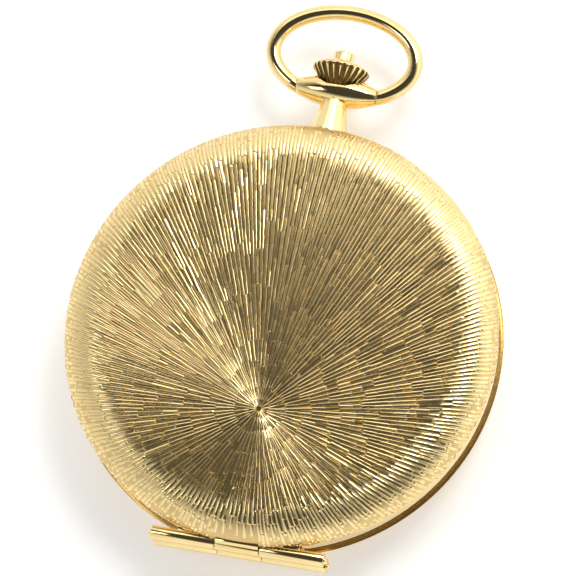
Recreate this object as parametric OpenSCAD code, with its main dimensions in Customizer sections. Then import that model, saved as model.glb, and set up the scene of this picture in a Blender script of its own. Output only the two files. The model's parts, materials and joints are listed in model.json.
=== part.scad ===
// Full hunter pocket watch: sprung front cover, hinged back cover, bow, crown with a
// push-piece in its end, and a hand-wound movement with small seconds.
// Frame: +Z out of the front cover, +Y through the pendant and crown, origin at the
// centre of the back cover's flat resting face. Millimetres.

/* [Case] */
// Diameter over the two covers
case_d = 46; // [45.5:0.25:48]
// Thickness of the closed watch
case_t = 10; // [9.8:0.1:10.8]
// Height of the case band between the covers
band_h = 3.7; // [3.6:0.05:3.9]
// How far the band stands inside the covers' edge
band_inset = 0.3; // [0.2:0.05:0.4]
// Wall of the two covers
cover_wall = 0.5; // [0.4:0.05:0.6]
// Radius of the covers' rounded edge
cover_edge_r = 2.6; // [2.2:0.1:2.8]
// Radius of the covers' shallow dome
dome_r = 303; // [260:5:400]
// Radius of the flat face that the watch lies on
rest_r = 14; // [10:0.5:16]
// Number of sides of that face, few so that it stands on distinct corners
rest_sides = 16; // [12:4:24]
// Height by which that face stands proud of the dome
rest_lift = 0.02; // [0.02:0.01:0.05]
// Gap between a closed cover and the band
cover_gap = 0.1; // [0.08:0.01:0.15]

/* [Hinges] */
// Length of each hinge
hinge_l = 18.5; // [17:0.25:20]
// Length of each cover's middle knuckle
knuckle_l = 4.7; // [4:0.1:6]
// Radius of the knuckles
knuckle_r = 0.75; // [0.7:0.01:0.78]
// Radius of the hinge pins
hinge_pin_r = 0.3; // [0.25:0.01:0.35]
// Running clearance of the hinge pins and pivots
run_gap = 0.03; // [0.02:0.01:0.05]
// Gap between neighbouring knuckles
knuckle_gap = 0.08; // [0.06:0.01:0.12]

/* [Pendant and bow] */
// Distance from the case centre to the bow's pivot axis
pivot_y = 27.6; // [27.4:0.1:28.2]
// Radius of the pendant neck where it meets the case
neck_r = 2.35; // [2.1:0.05:2.5]
// Radius of the pendant neck under the spindle
neck_top_r = 1.3; // [1.25:0.05:1.5]
// Radius of the spindle in the middle
spindle_r = 1.7; // [1.55:0.05:1.8]
// Radius of the spindle at its ends
spindle_end_r = 0.85; // [0.8:0.05:1]
// Half the length of the spindle
spindle_half = 4.3; // [4:0.1:4.6]
// Radius of the bow's wire
bow_wire_r = 0.81; // [0.7:0.01:0.85]
// Half the bow's width, to the wire's centre
bow_half = 7.65; // [7.2:0.05:8]
// Height of the bow over its pivot, to the wire's centre
bow_h = 8.75; // [8.4:0.05:9]
// Radius of the bow's pivots in the spindle
bow_pin_r = 0.4; // [0.3:0.05:0.45]
// Length of the bow's pivots
bow_pin_l = 1.2; // [0.8:0.1:1.6]

/* [Crown] */
// Diameter over the crown's rim
crown_d = 6; // [5.6:0.1:6.4]
// Length of the crown
crown_l = 2.95; // [2.7:0.05:3.2]
// Radius of the crown's narrow end
crown_foot_r = 1.75; // [1.7:0.05:1.95]
// Number of flutes round the crown
crown_flutes = 24; // [18:1:28]
// Depth of a flute
flute_depth = 0.22; // [0.1:0.02:0.26]
// Radius of the push-piece in the crown's end
nub_r = 1.1; // [0.9:0.05:1.15]
// How far the push-piece stands out of the crown
nub_h = 0.9; // [0.7:0.05:1.1]
// Travel of the push-piece
push_travel = 0.5; // [0.4:0.05:0.5]
// Radius of the winding stem
stem_r = 0.6; // [0.5:0.05:0.65]
// How far the crown pulls out to set the hands
pull_travel = 0.8; // [0.6:0.05:0.9]
// Outer radius of the push-piece's sleeve round the stem
sleeve_r = 1; // [0.95:0.01:1.05]

/* [Dial side] */
// Room from the movement's edge to the outside of the case
movement_inset = 4.7; // [4.6:0.05:4.8]
// Width of the dial's edge that the bezel hides
dial_cover = 0.35; // [0.3:0.05:1]
// Thickness of the dial
dial_t = 0.4; // [0.3:0.05:0.5]
// Thickness of the crystal
crystal_t = 0.6; // [0.5:0.05:0.7]
// Length of the minute hand from its axis
minute_hand_l = 14.6; // [12:0.2:16]
// Length of the hour hand from its axis
hour_hand_l = 9.6; // [8:0.2:11]
// Length of the seconds hand from its axis
seconds_hand_l = 3.9; // [3:0.1:4.2]
// Thickness of the hands
hand_t = 0.12; // [0.1:0.01:0.15]
// Length of the hour markers
marker_l = 2.2; // [1.5:0.1:2.6]
// Width of the hour markers
marker_w = 0.55; // [0.4:0.05:0.8]

/* [Movement] */
// Distance from the centre to the seconds axis
seconds_x = 9; // [8.9:0.05:9.1]
// Thickness of the main plate under the dial
plate_t = 1; // [0.9:0.05:1.1]
// Space between main plate and bridges
train_space = 2.4; // [2.4:0.05:2.5]
// Thickness of the bridges
bridge_t = 0.8; // [0.7:0.05:0.9]
// Radius of the barrel drum
drum_r = 6.6; // [6:0.1:6.8]
// Radius of the balance wheel
balance_r = 5.3; // [4.8:0.1:5.3]
// Thickness of the train wheels
wheel_t = 0.2; // [0.15:0.01:0.22]
// Radius of the train arbors
arbor_r = 0.2; // [0.15:0.01:0.22]
// Radius of the jewels
jewel_r = 0.7; // [0.6:0.05:0.8]
// Thickness of the jewels
jewel_t = 0.3; // [0.2:0.05:0.35]
// Turns of the mainspring that are drawn
mainspring_turns = 6; // [4:1:7]
// Turns of the hairspring
hairspring_turns = 6; // [4:1:8]

/* [Teeth] */
// Module of the barrel and the centre pinion
module_barrel = 0.2; // [0.2:0.001:0.201]
// Module of the centre wheel and the third pinion
module_centre = 0.15; // [0.15:0.001:0.151]
// Module of the third wheel and the fourth pinion
module_third = 0.13; // [0.13:0.001:0.131]
// Module of the fourth wheel and the escape pinion
module_fourth = 0.105; // [0.104:0.001:0.106]
// Module of the wheels under the dial
module_dial = 0.125; // [0.124:0.001:0.125]

/* [Hidden] */
$fn = 72;
eps = 0.01;

// Case levels
case_r = case_d / 2;
mid = case_t / 2;
band_r = case_r - band_inset;
band_lo = mid - band_h / 2;
band_hi = mid + band_h / 2;
rim_hi = band_hi + cover_gap;
rim_lo = band_lo - cover_gap;
edge_x = case_r - cover_edge_r;
dome_drop = dome_r - sqrt(dome_r * dome_r - edge_x * edge_x);
rest_sink = dome_r - sqrt(dome_r * dome_r - rest_r * rest_r);
front_edge_z = case_t - dome_drop - cover_edge_r;
back_edge_z = dome_drop - rest_sink + cover_edge_r;

// Hinges
hinge_y = -case_r;
front_hinge_z = rim_hi - knuckle_r - 0.05;
back_hinge_z = rim_lo + knuckle_r + 0.05;
ear_l = (hinge_l - knuckle_l) / 2 - knuckle_gap;
ear_x = knuckle_l / 2 + knuckle_gap;
knuckle_web = 0.5;
notch_clear = 0.4;

// Band, dial and movement levels
plate_gap = 0.2;
movement_r = case_r - movement_inset;
dial_opening_r = movement_r - dial_cover;
band_in_r = movement_r + plate_gap;
flange_r = movement_r + 0.6;
flange_t = 0.6;
seat_r = flange_r + plate_gap;
plate_hi = mid + 1.2;
plate_lo = plate_hi - plate_t;
bridge_hi = plate_lo - train_space;
bridge_lo = bridge_hi - bridge_t;
dial_lo = plate_hi;
dial_hi = dial_lo + dial_t;
recess_lo = plate_hi - 0.65;
seconds_z = dial_hi + 0.12;
hour_z = seconds_z + 0.2;
minute_z = hour_z + 0.35;
crystal_lo = minute_z + hand_t + 0.28;
crystal_hi = crystal_lo + crystal_t;
crystal_r = dial_opening_r + 0.6;

// Catch and lift springs in the band
channel_in = case_r - 2.7;
channel_out = case_r - 1.3;
channel_lo = mid - 0.1;
strip_t = 0.35;
strip_r = channel_in + 0.6;
strip_h = band_hi - channel_lo - 0.2;
catch_angle = 35;
lift_angle = 205;
nose_r = case_r - 1.1;
nose_half = 1.3;
nose_turn = 2 * asin(nose_half / nose_r);
lip_r = nose_r + 0.05;

// Crown, stem and push-piece along +Y
scoop_y = pivot_y + 0.35;
crown_y0 = scoop_y + 0.1;
crown_y1 = crown_y0 + crown_l;
crown_rim_y = crown_y1 - 1.25;
crown_slope = (crown_d / 2 - crown_foot_r) / (crown_rim_y - crown_y0);
crown_cave_r = crown_foot_r - 0.45;
stem_disc_y = crown_y0 + 0.55;
stem_disc_t = 0.4;
leg_r = 0.14;
leg_x = (stem_r + sleeve_r) / 2 + 0.03;
push_disc_t = 0.3;
push_disc_y = stem_disc_y + stem_disc_t + push_travel + 0.05;
crown_cave_y = push_disc_y + push_disc_t + 0.02;
pendant_bore_r = sleeve_r + 0.08;
stem_end_y = 8.2;

// Axes of the movement in plan
teeth_barrel = 72;
teeth_centre_pinion = 12;
teeth_centre = 80;
teeth_pinion = 10;
teeth_third = 75;
teeth_fourth = 80;
teeth_escape_pinion = 8;
teeth_ratchet = 72;
teeth_crown_wheel = 41;
teeth_contrate = 26;
teeth_winding = 14;
teeth_cannon = 12;
teeth_minute = 36;
teeth_minute_pinion = 10;
teeth_hour = 40;
teeth_setting = 28;
teeth_escape = 15;

function gear_reach(m, a, b) = m * (a + b) / 2;
function polar(d, a) = [d * cos(a), d * sin(a)];
function bearing(p, q) = atan2(q[1] - p[1], q[0] - p[0]);
// Turn of wheel B that puts its teeth into the spaces of wheel A, turned by a0
function mesh_turn(p, q, a0, na, nb) = bearing(p, q) + 180
    - (0.5 - (bearing(p, q) - a0) * na / 360) * 360 / nb;

centre_at = [0, 0];
fourth_at = [seconds_x, 0];
barrel_angle = 150;
barrel_at = polar(gear_reach(module_barrel, teeth_barrel, teeth_centre_pinion), barrel_angle);
ct = gear_reach(module_centre, teeth_centre, teeth_pinion);
tf = gear_reach(module_third, teeth_third, teeth_pinion);
third_angle = acos((ct * ct + seconds_x * seconds_x - tf * tf) / (2 * ct * seconds_x));
third_at = polar(ct, third_angle);
escape_angle = -95;
escape_at = fourth_at + polar(gear_reach(module_fourth, teeth_fourth, teeth_escape_pinion),
    escape_angle);
balance_at = [4.5, -11];
lever_angle = bearing(escape_at, balance_at);
escape_r = 2.6;
pallet_reach = escape_r * 1.17;
pallet_at = escape_at + polar(pallet_reach, lever_angle);
crown_wheel_at = [0, 12.9];
ratchet_dist = norm(barrel_at - crown_wheel_at);
module_ratchet = 2 * ratchet_dist / (teeth_ratchet + teeth_crown_wheel);
winding_r = 1;
contrate_r = winding_r * teeth_contrate / teeth_winding;
contrate_half = 0.22;
contrate_hi = mid - winding_r + 0.05;
minute_angle = 80;
minute_at = polar(gear_reach(module_dial, teeth_cannon, teeth_minute), minute_angle);
module_hour = 2 * norm(minute_at) / (teeth_minute_pinion + teeth_hour);
setting_dist = gear_reach(module_dial, teeth_minute, teeth_setting);
setting_at = [0, minute_at[1] + sqrt(setting_dist * setting_dist - minute_at[0] * minute_at[0])];

// Turns that bring the teeth into mesh at rest
centre_turn = mesh_turn(third_at, centre_at, 0, teeth_pinion, teeth_centre);
third_turn = mesh_turn(fourth_at, third_at, 0, teeth_pinion, teeth_third);
escape_turn = mesh_turn(fourth_at, escape_at, 0, teeth_fourth, teeth_escape_pinion);
barrel_turn = mesh_turn(centre_at, barrel_at, 0, teeth_centre_pinion, teeth_barrel);
ratchet_turn = mesh_turn(crown_wheel_at, barrel_at, 0, teeth_crown_wheel, teeth_ratchet);
minute_turn = mesh_turn(centre_at, minute_at, 0, teeth_cannon, teeth_minute);
setting_turn = mesh_turn(minute_at, setting_at, minute_turn, teeth_minute, teeth_setting);
hour_turn = mesh_turn(minute_at, centre_at, 0, teeth_minute_pinion, teeth_hour);

// Levels of the train, from the plate back to the bridges
barrel_hi = plate_lo + 0.15;
barrel_h = 1.8;
barrel_lo = barrel_hi - barrel_h;
barrel_tooth_z = plate_lo - 0.6;
barrel_tooth_t = 0.4;
centre_wheel_z = bridge_hi + 0.3;
third_wheel_z = plate_lo - 0.8;
fourth_wheel_z = bridge_hi + 0.8;
escape_wheel_z = plate_lo - 0.65;
escape_wheel_t = 0.13;
fork_t = 0.15;
balance_z = bridge_hi + 0.15;
balance_t = 0.5;
hairspring_z = bridge_hi - 0.35;
cock_lo = bridge_lo - 0.4;
cock_hi = bridge_lo + 0.3;
ratchet_z = bridge_lo - 0.5;
ratchet_t = 0.45;

// Flat springs in the band, case screws and setting lever
spring_screw_at = (channel_in + channel_out) / 2;
spring_screw_r = 0.3;
eyelet_r = 0.55;
case_screw_angles = [10, 190, 275];
case_screw_at = movement_r - 0.6;
case_head_r = 1.2;
dial_foot_angles = [100, 220];
dial_foot_r = 0.35;
lever_y = 14.6;
lever_arm = 2.4;

// Screws that hold the bridges, and their pillars
barrel_screws = [[-11.8, 12], [-13.6, -6], [5.4, 14.6]];
train_screws = [[13.6, 8.6], [15.2, -4.2]];
cock_screw = [-6.3, -13.8];
pallet_screw = [10.6, -9.3];
pillar_r = 1.1;
foot_pillar_r = 1.7;
bridge_screw_r = 0.35;
screw_gap = 0.03;

// Well of the crown wheel in the barrel bridge
well_r = contrate_r + contrate_half + 0.12;
well_wall = 0.35;
well_floor_z = mid - stem_r - 0.3;
stem_block_y = crown_wheel_at[1] + well_r + well_wall + 0.05;

// Arbors and the jewels that carry them
centre_arbor_r = 0.3;
staff_r = 0.25;
barrel_arbor_r = 0.6;
barrel_jewels = [[centre_at, centre_arbor_r]];
train_jewels = [[third_at, arbor_r], [fourth_at, arbor_r], [escape_at, arbor_r]];
cock_jewels = [[balance_at, staff_r]];
pallet_jewels = [[pallet_at, arbor_r]];
pallet_bridge_z = fourth_wheel_z + 0.15;
pallet_bridge_t = 0.35;

// Click, balance, motion work and winding pinions
click_reach = module_ratchet * (teeth_ratchet / 2 + 0.9) + 0.12;
click_angle = 268;
click_at = barrel_at + polar(click_reach + 1.1, click_angle);
impulse_r = 1.1;
hairspring_out = 3.2;
hairspring_h = 0.2;
hairspring_t = 0.05;
stud_r = 0.2;
cannon_r = 0.55;
hour_tube_r = 0.85;
dial_wheel_t = 0.15;
winding_y0 = crown_wheel_at[1] - contrate_r - 0.35;
winding_y1 = winding_y0 + 0.55;
sliding_y = winding_y0 - 1.8;

// Tube standing on z = 0
module tube(ro, ri, h) {
    difference() {
        cylinder(r = ro, h = h);
        translate([0, 0, -eps]) cylinder(r = ri, h = h + 2 * eps);
    }
}

// Cylinder along +Y on the stem's axis, from y0 to y1
module along_y(r, y0, y1) {
    translate([0, y0, mid]) rotate([-90, 0, 0]) cylinder(r = r, h = y1 - y0);
}

// Disc with flat-sided teeth, standing on z = 0, one tooth centred on +X
module toothed(n, m, h) {
    tip_r = m * (n / 2 + 0.9);
    root_r = m * (n / 2 - 1.15);
    tip_half = 0.1;
    root_half = 0.29;
    linear_extrude(h) polygon([for (i = [0:n - 1])
        for (c = [[-root_half, root_r], [-tip_half, tip_r], [tip_half, tip_r], [root_half, root_r]])
            polar(c[1], (i + c[0]) * 360 / n)]);
}

// Toothed wheel with open windows between its spokes
module spoked(n, m, h, spokes, hub) {
    window_out = m * (n / 2 - 1.15) - 0.6;
    spoke_turn = 14;
    difference() {
        toothed(n, m, h);
        for (i = [0:spokes - 1])
            rotate((i + 0.5) * 360 / spokes - (180 / spokes - spoke_turn / 2))
                translate([0, 0, -eps])
                    rotate_extrude(angle = 360 / spokes - spoke_turn)
                        translate([hub, 0]) square([window_out - hub, h + 2 * eps]);
    }
}

// Half section of a cover, in radius and height over the case's middle plane
module cover_half(wall, apex, edge_h, foot, top) {
    intersection() {
        translate([0, apex - dome_r]) circle(r = dome_r - wall, $fn = 1440);
        union() {
            square([edge_x, top]);
            translate([edge_x, edge_h]) circle(r = cover_edge_r - wall, $fn = 96);
        }
        translate([0, foot]) square([case_r, top - wall - foot]);
    }
}

// One cover over the middle plane, with its knuckle; the back one is the mirror image
module cover(apex, edge_h, top) {
    foot = rim_hi - mid;
    axis_h = front_hinge_z - mid;
    difference() {
        union() {
            rotate_extrude($fn = 180) difference() {
                cover_half(0, apex, edge_h, foot, top);
                cover_half(cover_wall, apex, edge_h, foot - eps, top);
            }
            translate([-knuckle_l / 2, hinge_y, axis_h]) rotate([0, 90, 0])
                cylinder(r = knuckle_r, h = knuckle_l);
            translate([-knuckle_l / 2, hinge_y - knuckle_web, axis_h])
                cube([knuckle_l, 2 * knuckle_web, foot - axis_h + knuckle_web]);
        }
        translate([-hinge_l / 2, hinge_y, axis_h]) rotate([0, 90, 0])
            cylinder(r = hinge_pin_r + run_gap, h = hinge_l);
        neck_cut();
    }
}

// Way for the pendant's neck through a cover drawn on the middle plane
module neck_cut() {
    rotate([-90, 0, 0]) cylinder(r = neck_r + 0.15, h = case_r + 1);
}

// Knuckle of the case band on side s of a hinge at height z
module band_ear(z, s) {
    x0 = s > 0 ? ear_x : -ear_x - ear_l;
    web_l = 0.6 * ear_l;
    web_x = s > 0 ? ear_x : -ear_x - web_l;
    translate([x0, hinge_y, z]) rotate([0, 90, 0]) cylinder(r = knuckle_r, h = ear_l);
    translate([web_x, hinge_y, z - knuckle_web]) cube([web_l, case_r - channel_in, 2 * knuckle_web]);
}

// Channel in the band for a flat spring, from angle a0 to a1
module spring_channel(a0, a1) {
    translate([0, 0, channel_lo]) rotate(a0) rotate_extrude(angle = a1 - a0)
        translate([channel_in, 0]) square([channel_out - channel_in, band_h]);
}

module case_band() {
    notch_x = ear_x;
    color("goldenrod") difference() {
        union() {
            rotate_extrude($fn = 180) polygon([[band_in_r, band_lo], [band_r, band_lo],
                [band_r, band_hi], [seat_r, band_hi], [seat_r, plate_hi - flange_t],
                [band_in_r, plate_hi - flange_t]]);
            for (z = [front_hinge_z, back_hinge_z])
                for (s = [-1, 1])
                    band_ear(z, s);
        }
        translate([-notch_x, hinge_y - 1, front_hinge_z - knuckle_r - 0.15])
            cube([2 * notch_x, 1 + knuckle_r + notch_clear, band_h]);
        translate([-notch_x, hinge_y - 1, back_hinge_z + knuckle_r + 0.15 - band_h])
            cube([2 * notch_x, 1 + knuckle_r + notch_clear, band_h]);
        for (z = [front_hinge_z, back_hinge_z])
            translate([-hinge_l / 2 - 1, hinge_y, z]) rotate([0, 90, 0])
                cylinder(r = hinge_pin_r + run_gap, h = hinge_l + 2);
        along_y(pendant_bore_r, band_in_r - 1, case_r + 1);
        spring_channel(catch_angle - 4, 100);
        spring_channel(lift_angle - 4, lift_angle + 49);
        for (a = [catch_angle, lift_angle])
            rotate(a) translate([spring_screw_at, 0, band_lo + 0.6])
                cylinder(r = spring_screw_r + run_gap, h = band_h);
        for (a = case_screw_angles)
            rotate(a) translate([case_screw_at, 0, band_lo - eps])
                cylinder(r = case_head_r + 0.1, h = plate_lo - band_lo + eps);
    }
}

module front_lid() {
    color("gold") translate([0, 0, mid]) {
        cover(mid, front_edge_z - mid, mid);
        difference() {
            intersection() {
                translate([-1.5 * nose_half, lip_r, rim_hi - mid]) cube([3 * nose_half, case_r, 0.7]);
                cylinder(r = case_r - cover_wall / 2, h = case_t);
            }
            neck_cut();
        }
    }
}

module back_cover() {
    color("gold") {
        translate([0, 0, mid]) mirror([0, 0, 1])
            cover(mid + rest_sink, mid - back_edge_z, mid - rest_lift);
        rotate(180 / rest_sides)
            cylinder(r = rest_r, h = rest_lift + cover_wall / 2, $fn = rest_sides);
    }
}

// Hinge pin along X with a rounded end on each side
module hinge_pin(z) {
    translate([-hinge_l / 2, hinge_y, z]) rotate([0, 90, 0])
        cylinder(r = hinge_pin_r, h = hinge_l);
    for (s = [-1, 1])
        translate([s * hinge_l / 2, hinge_y, z]) sphere(r = hinge_pin_r);
}

module front_hinge_pin() {
    color("gold") hinge_pin(front_hinge_z);
}

module back_hinge_pin() {
    color("gold") hinge_pin(back_hinge_z);
}

module bezel() {
    foot_r = flange_r + 0.1;
    shoulder_r = channel_in - 0.1;
    color("gold") rotate_extrude($fn = 180) polygon([[dial_opening_r, dial_hi], [foot_r, dial_hi],
        [foot_r, band_hi], [shoulder_r, band_hi], [shoulder_r, band_hi + 0.35],
        [crystal_r + 1, crystal_hi + 0.1], [crystal_r, crystal_hi + 0.1],
        [crystal_r, crystal_lo], [dial_opening_r, crystal_lo]]);
}

module crystal() {
    color("white", 0.3) translate([0, 0, crystal_lo]) cylinder(r = crystal_r, h = crystal_t, $fn = 180);
}

// Olive-shaped spindle along X, centred on the bow's pivot axis
module spindle() {
    sag = spindle_r - spindle_end_r;
    olive_r = (spindle_half * spindle_half + sag * sag) / (2 * sag);
    translate([0, pivot_y, mid]) rotate([0, 90, 0]) rotate_extrude() intersection() {
        translate([spindle_r - olive_r, 0]) circle(r = olive_r, $fn = 720);
        translate([0, -spindle_half]) square([spindle_r, 2 * spindle_half]);
    }
}

module pendant() {
    color("gold") difference() {
        union() {
            difference() {
                translate([0, band_r - 1, mid]) rotate([-90, 0, 0])
                    cylinder(r1 = neck_r, r2 = neck_top_r, h = pivot_y - band_r);
                cylinder(r = band_r, h = case_t, $fn = 180);
            }
            spindle();
        }
        along_y(pendant_bore_r, band_r - 1, scoop_y + 2);
        translate([0, scoop_y, mid]) rotate([-90, 0, 0])
            cylinder(r1 = crown_foot_r + 0.15, r2 = crown_foot_r + 0.15 + 3 * crown_slope, h = 3);
        for (s = [-1, 1])
            translate([s * (spindle_half + eps), pivot_y, mid]) rotate([0, -90 * s, 0])
                cylinder(r = bow_pin_r + run_gap, h = bow_pin_l + 0.1);
    }
}

// The bow: one round wire swept along an oval from foot to foot, with its pivots
module bow() {
    sides = 20;
    rings = 48;
    foot_x = spindle_half + 0.05;
    foot_sink = sqrt(1 - pow(foot_x / bow_half, 2));
    oval_b = bow_h / (1 + foot_sink);
    oval_y = oval_b * foot_sink;
    foot_turn = -acos(foot_x / bow_half);
    points = [for (i = [0:rings]) let (
            t = foot_turn + (180 - 2 * foot_turn) * i / rings,
            lean = atan2(bow_half * sin(t), oval_b * cos(t)),
            out = i == 0 || i == rings ? [0, -1] : [cos(lean), sin(lean)])
        for (k = [0:sides - 1]) [
            bow_half * cos(t) + bow_wire_r * cos(k * 360 / sides) * out[0],
            oval_y + oval_b * sin(t) + bow_wire_r * cos(k * 360 / sides) * out[1],
            bow_wire_r * sin(k * 360 / sides)]];
    faces = concat([[for (k = [sides - 1:-1:0]) k]],
        [for (i = [0:rings - 1]) for (k = [0:sides - 1])
            let (a = i * sides + k, b = i * sides + (k + 1) % sides)
            [a, b, b + sides, a + sides]],
        [[for (k = [0:sides - 1]) rings * sides + k]]);
    color("gold") translate([0, pivot_y, mid]) {
        polyhedron(points, faces);
        for (s = [-1, 1])
            translate([s * (foot_x + eps), 0, 0]) rotate([0, -90 * s, 0])
                cylinder(r = bow_pin_r, h = bow_pin_l);
    }
}

module crown() {
    crown_r = crown_d / 2;
    rim = crown_rim_y - crown_y0;
    side_lean = atan(crown_slope);
    flute_r = 0.3;
    color("gold") translate([0, crown_y0, mid]) rotate([-90, 0, 0]) difference() {
        rotate_extrude() polygon([[crown_cave_r, 0], [crown_foot_r, 0], [crown_r, rim],
            [crown_r, rim + 0.25], [crown_r - 0.15, rim + 0.5], [crown_r - 0.8, rim + 0.9],
            [nub_r + run_gap, crown_l], [nub_r + run_gap, crown_cave_y - crown_y0],
            [crown_cave_r, crown_cave_y - crown_y0]]);
        for (i = [0:crown_flutes - 1])
            rotate(i * 360 / crown_flutes)
                translate([crown_foot_r + flute_r - flute_depth, 0, 0]) rotate([0, side_lean, 0])
                    translate([0, 0, -0.5]) cylinder(r = flute_r, h = crown_l + 0.5, $fn = 24);
    }
}

module lid_pusher() {
    sleeve_y = strip_r + strip_t + 0.1;
    nub_l = crown_y1 + nub_h - push_disc_y - push_disc_t + eps;
    color("gold") {
        translate([0, push_disc_y + push_disc_t - eps, mid]) rotate([-90, 0, 0])
            rotate_extrude() polygon([[0, 0], [nub_r, 0], [nub_r, nub_l - 0.12],
                [nub_r - 0.12, nub_l], [nub_r - 0.25, nub_l], [nub_r - 0.4, nub_l - 0.12],
                [0, nub_l - 0.12]]);
        along_y(crown_cave_r - 0.05, push_disc_y, push_disc_y + push_disc_t);
        for (s = [-1, 1])
            translate([s * leg_x, 0, 0]) along_y(leg_r, scoop_y - 0.6, push_disc_y + eps);
        translate([0, sleeve_y, mid]) rotate([-90, 0, 0])
            tube(sleeve_r, stem_r + 0.08, scoop_y - 0.1 - sleeve_y);
    }
}

module winding_stem() {
    groove_w = 0.5;
    color("silver") difference() {
        union() {
            along_y(stem_r, stem_end_y, stem_disc_y + eps);
            along_y(crown_cave_r, stem_disc_y, stem_disc_y + stem_disc_t);
        }
        translate([0, lever_y - groove_w / 2, mid]) rotate([-90, 0, 0])
            tube(stem_r + 1, stem_r - 0.2, groove_w);
        for (s = [-1, 1])
            translate([s * leg_x, 0, 0])
                along_y(leg_r + 0.06, stem_disc_y - 1, stem_disc_y + stem_disc_t + 1);
    }
}

// Flat curved spring in the band, from its eyelet at angle a over a turn of b
module strip_spring(a, b) {
    difference() {
        union() {
            translate([0, 0, channel_lo + 0.05]) rotate(a + 1)
                rotate_extrude(angle = b - 1) translate([strip_r, 0]) square([strip_t, strip_h]);
            rotate(a) translate([spring_screw_at, 0, channel_lo + 0.1])
                cylinder(r = eyelet_r, h = strip_h + 0.05);
        }
        rotate(a) translate([spring_screw_at, 0, 0])
            cylinder(r = spring_screw_r + run_gap, h = case_t);
    }
}

// Screw of a strip spring at angle a
module strip_screw(a) {
    rotate(a) translate([spring_screw_at, 0, 0]) {
        translate([0, 0, band_lo + 0.7]) cylinder(r = spring_screw_r, h = band_hi - band_lo - 0.7);
        translate([0, 0, band_hi - 0.05]) cylinder(r = eyelet_r - 0.05, h = 0.05);
    }
}

module lid_catch() {
    slot_turn = 2 * asin((stem_r + 0.35) / strip_r);
    post_r = strip_r + strip_t - 0.1;
    color("silver") difference() {
        union() {
            strip_spring(catch_angle, 95 - catch_angle);
            rotate(90 - nose_turn / 2) rotate_extrude(angle = nose_turn)
                polygon([[strip_r + 0.1, band_hi - 0.3], [post_r, band_hi - 0.3],
                    [post_r, band_hi + 0.05], [nose_r, band_hi + 0.05],
                    [nose_r, band_hi + 0.4], [strip_r + 0.1, band_hi + 0.4]]);
        }
        rotate(90 - slot_turn / 2) rotate_extrude(angle = slot_turn)
            translate([strip_r - 0.3, 0]) square([1, mid + stem_r + 0.1]);
    }
}

module lid_catch_screw() {
    color("silver") strip_screw(catch_angle);
}

module lift_spring() {
    color("silver") {
        strip_spring(lift_angle, 45);
        rotate(lift_angle + 42) rotate_extrude(angle = 3)
            translate([strip_r + 0.1, band_hi - 0.3]) square([strip_t, 1]);
    }
}

module lift_spring_screw() {
    color("silver") strip_screw(lift_angle);
}

// Holes in the plate and bridges: arbors with their radius
module arbor_holes(list) {
    for (c = list)
        translate([c[0][0], c[0][1], -eps]) cylinder(r = c[1] + run_gap, h = case_t);
}

// Counterbores for the jewels, cut from face z towards the dial
module jewel_seats(list, z) {
    for (c = list)
        translate([c[0][0], c[0][1], z - 1]) cylinder(r = jewel_r, h = 1 + jewel_t);
}

module screw_holes(list) {
    for (p = list)
        translate([p[0], p[1], 0]) cylinder(r = bridge_screw_r + screw_gap, h = plate_hi - 0.3);
}

module main_plate() {
    dial_recess = [[centre_at, 2.8], [minute_at, 2.6], [setting_at, 2.05]];
    color("lightgray") difference() {
        union() {
            translate([0, 0, plate_lo]) cylinder(r = movement_r, h = plate_t, $fn = 180);
            translate([0, 0, plate_hi - flange_t]) cylinder(r = flange_r, h = flange_t, $fn = 180);
            for (p = concat(barrel_screws, train_screws))
                translate([p[0], p[1], bridge_hi]) cylinder(r = pillar_r, h = plate_lo - bridge_hi + eps);
            translate([cock_screw[0], cock_screw[1], cock_hi])
                cylinder(r = foot_pillar_r, h = plate_lo - cock_hi + eps);
            translate([pallet_screw[0], pallet_screw[1], pallet_bridge_z + pallet_bridge_t])
                cylinder(r = 0.9, h = plate_lo - pallet_bridge_z - pallet_bridge_t + eps);
            translate([-1.6, stem_block_y, mid - 1.2])
                cube([3.2, movement_r - 0.6 - stem_block_y, plate_lo - mid + 1.2 + eps]);
            translate([minute_at[0], minute_at[1], recess_lo - 0.1])
                cylinder(r = arbor_r, h = plate_hi - recess_lo);
        }
        for (c = dial_recess)
            translate([c[0][0], c[0][1], recess_lo]) difference() {
                cylinder(r = c[1], h = 1);
                for (p = [minute_at, setting_at])
                    translate([p[0] - c[0][0], p[1] - c[0][1], -eps])
                        cylinder(r = arbor_r, h = plate_hi - recess_lo - 0.02);
            }
        translate([barrel_at[0], barrel_at[1], plate_lo - eps])
            cylinder(r = module_barrel * (teeth_barrel / 2 + 0.9) + 0.2, h = barrel_hi - plate_lo + 0.05);
        arbor_holes([[centre_at, centre_arbor_r], [third_at, arbor_r], [fourth_at, arbor_r],
            [escape_at, arbor_r], [balance_at, staff_r], [pallet_at, arbor_r],
            [barrel_at, barrel_arbor_r]]);
        along_y(stem_r + run_gap, stem_end_y - 0.3, flange_r + 1);
        translate([-1.35, sliding_y - 0.3, 0]) cube([2.7, winding_y1 + 0.6 - sliding_y, case_t]);
        translate([-0.55, lever_y - 0.9, recess_lo + 0.1]) cube([lever_arm + 1.45, 2.3, 1]);
        translate([-0.35, lever_y - 0.35, mid]) cube([0.7, pull_travel + 0.75, case_t]);
        screw_holes(concat(barrel_screws, train_screws, [cock_screw, pallet_screw]));
        for (a = case_screw_angles)
            rotate(a) translate([case_screw_at, 0, 0])
                cylinder(r = bridge_screw_r + screw_gap, h = plate_hi - 0.3);
        translate([lever_arm, lever_y, 0]) cylinder(r = arbor_r + run_gap, h = case_t);
        for (a = dial_foot_angles)
            rotate(a) translate([movement_r - 3, 0, plate_lo - 1])
                cylinder(r = dial_foot_r + screw_gap, h = plate_t + 2);
    }
}

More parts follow.
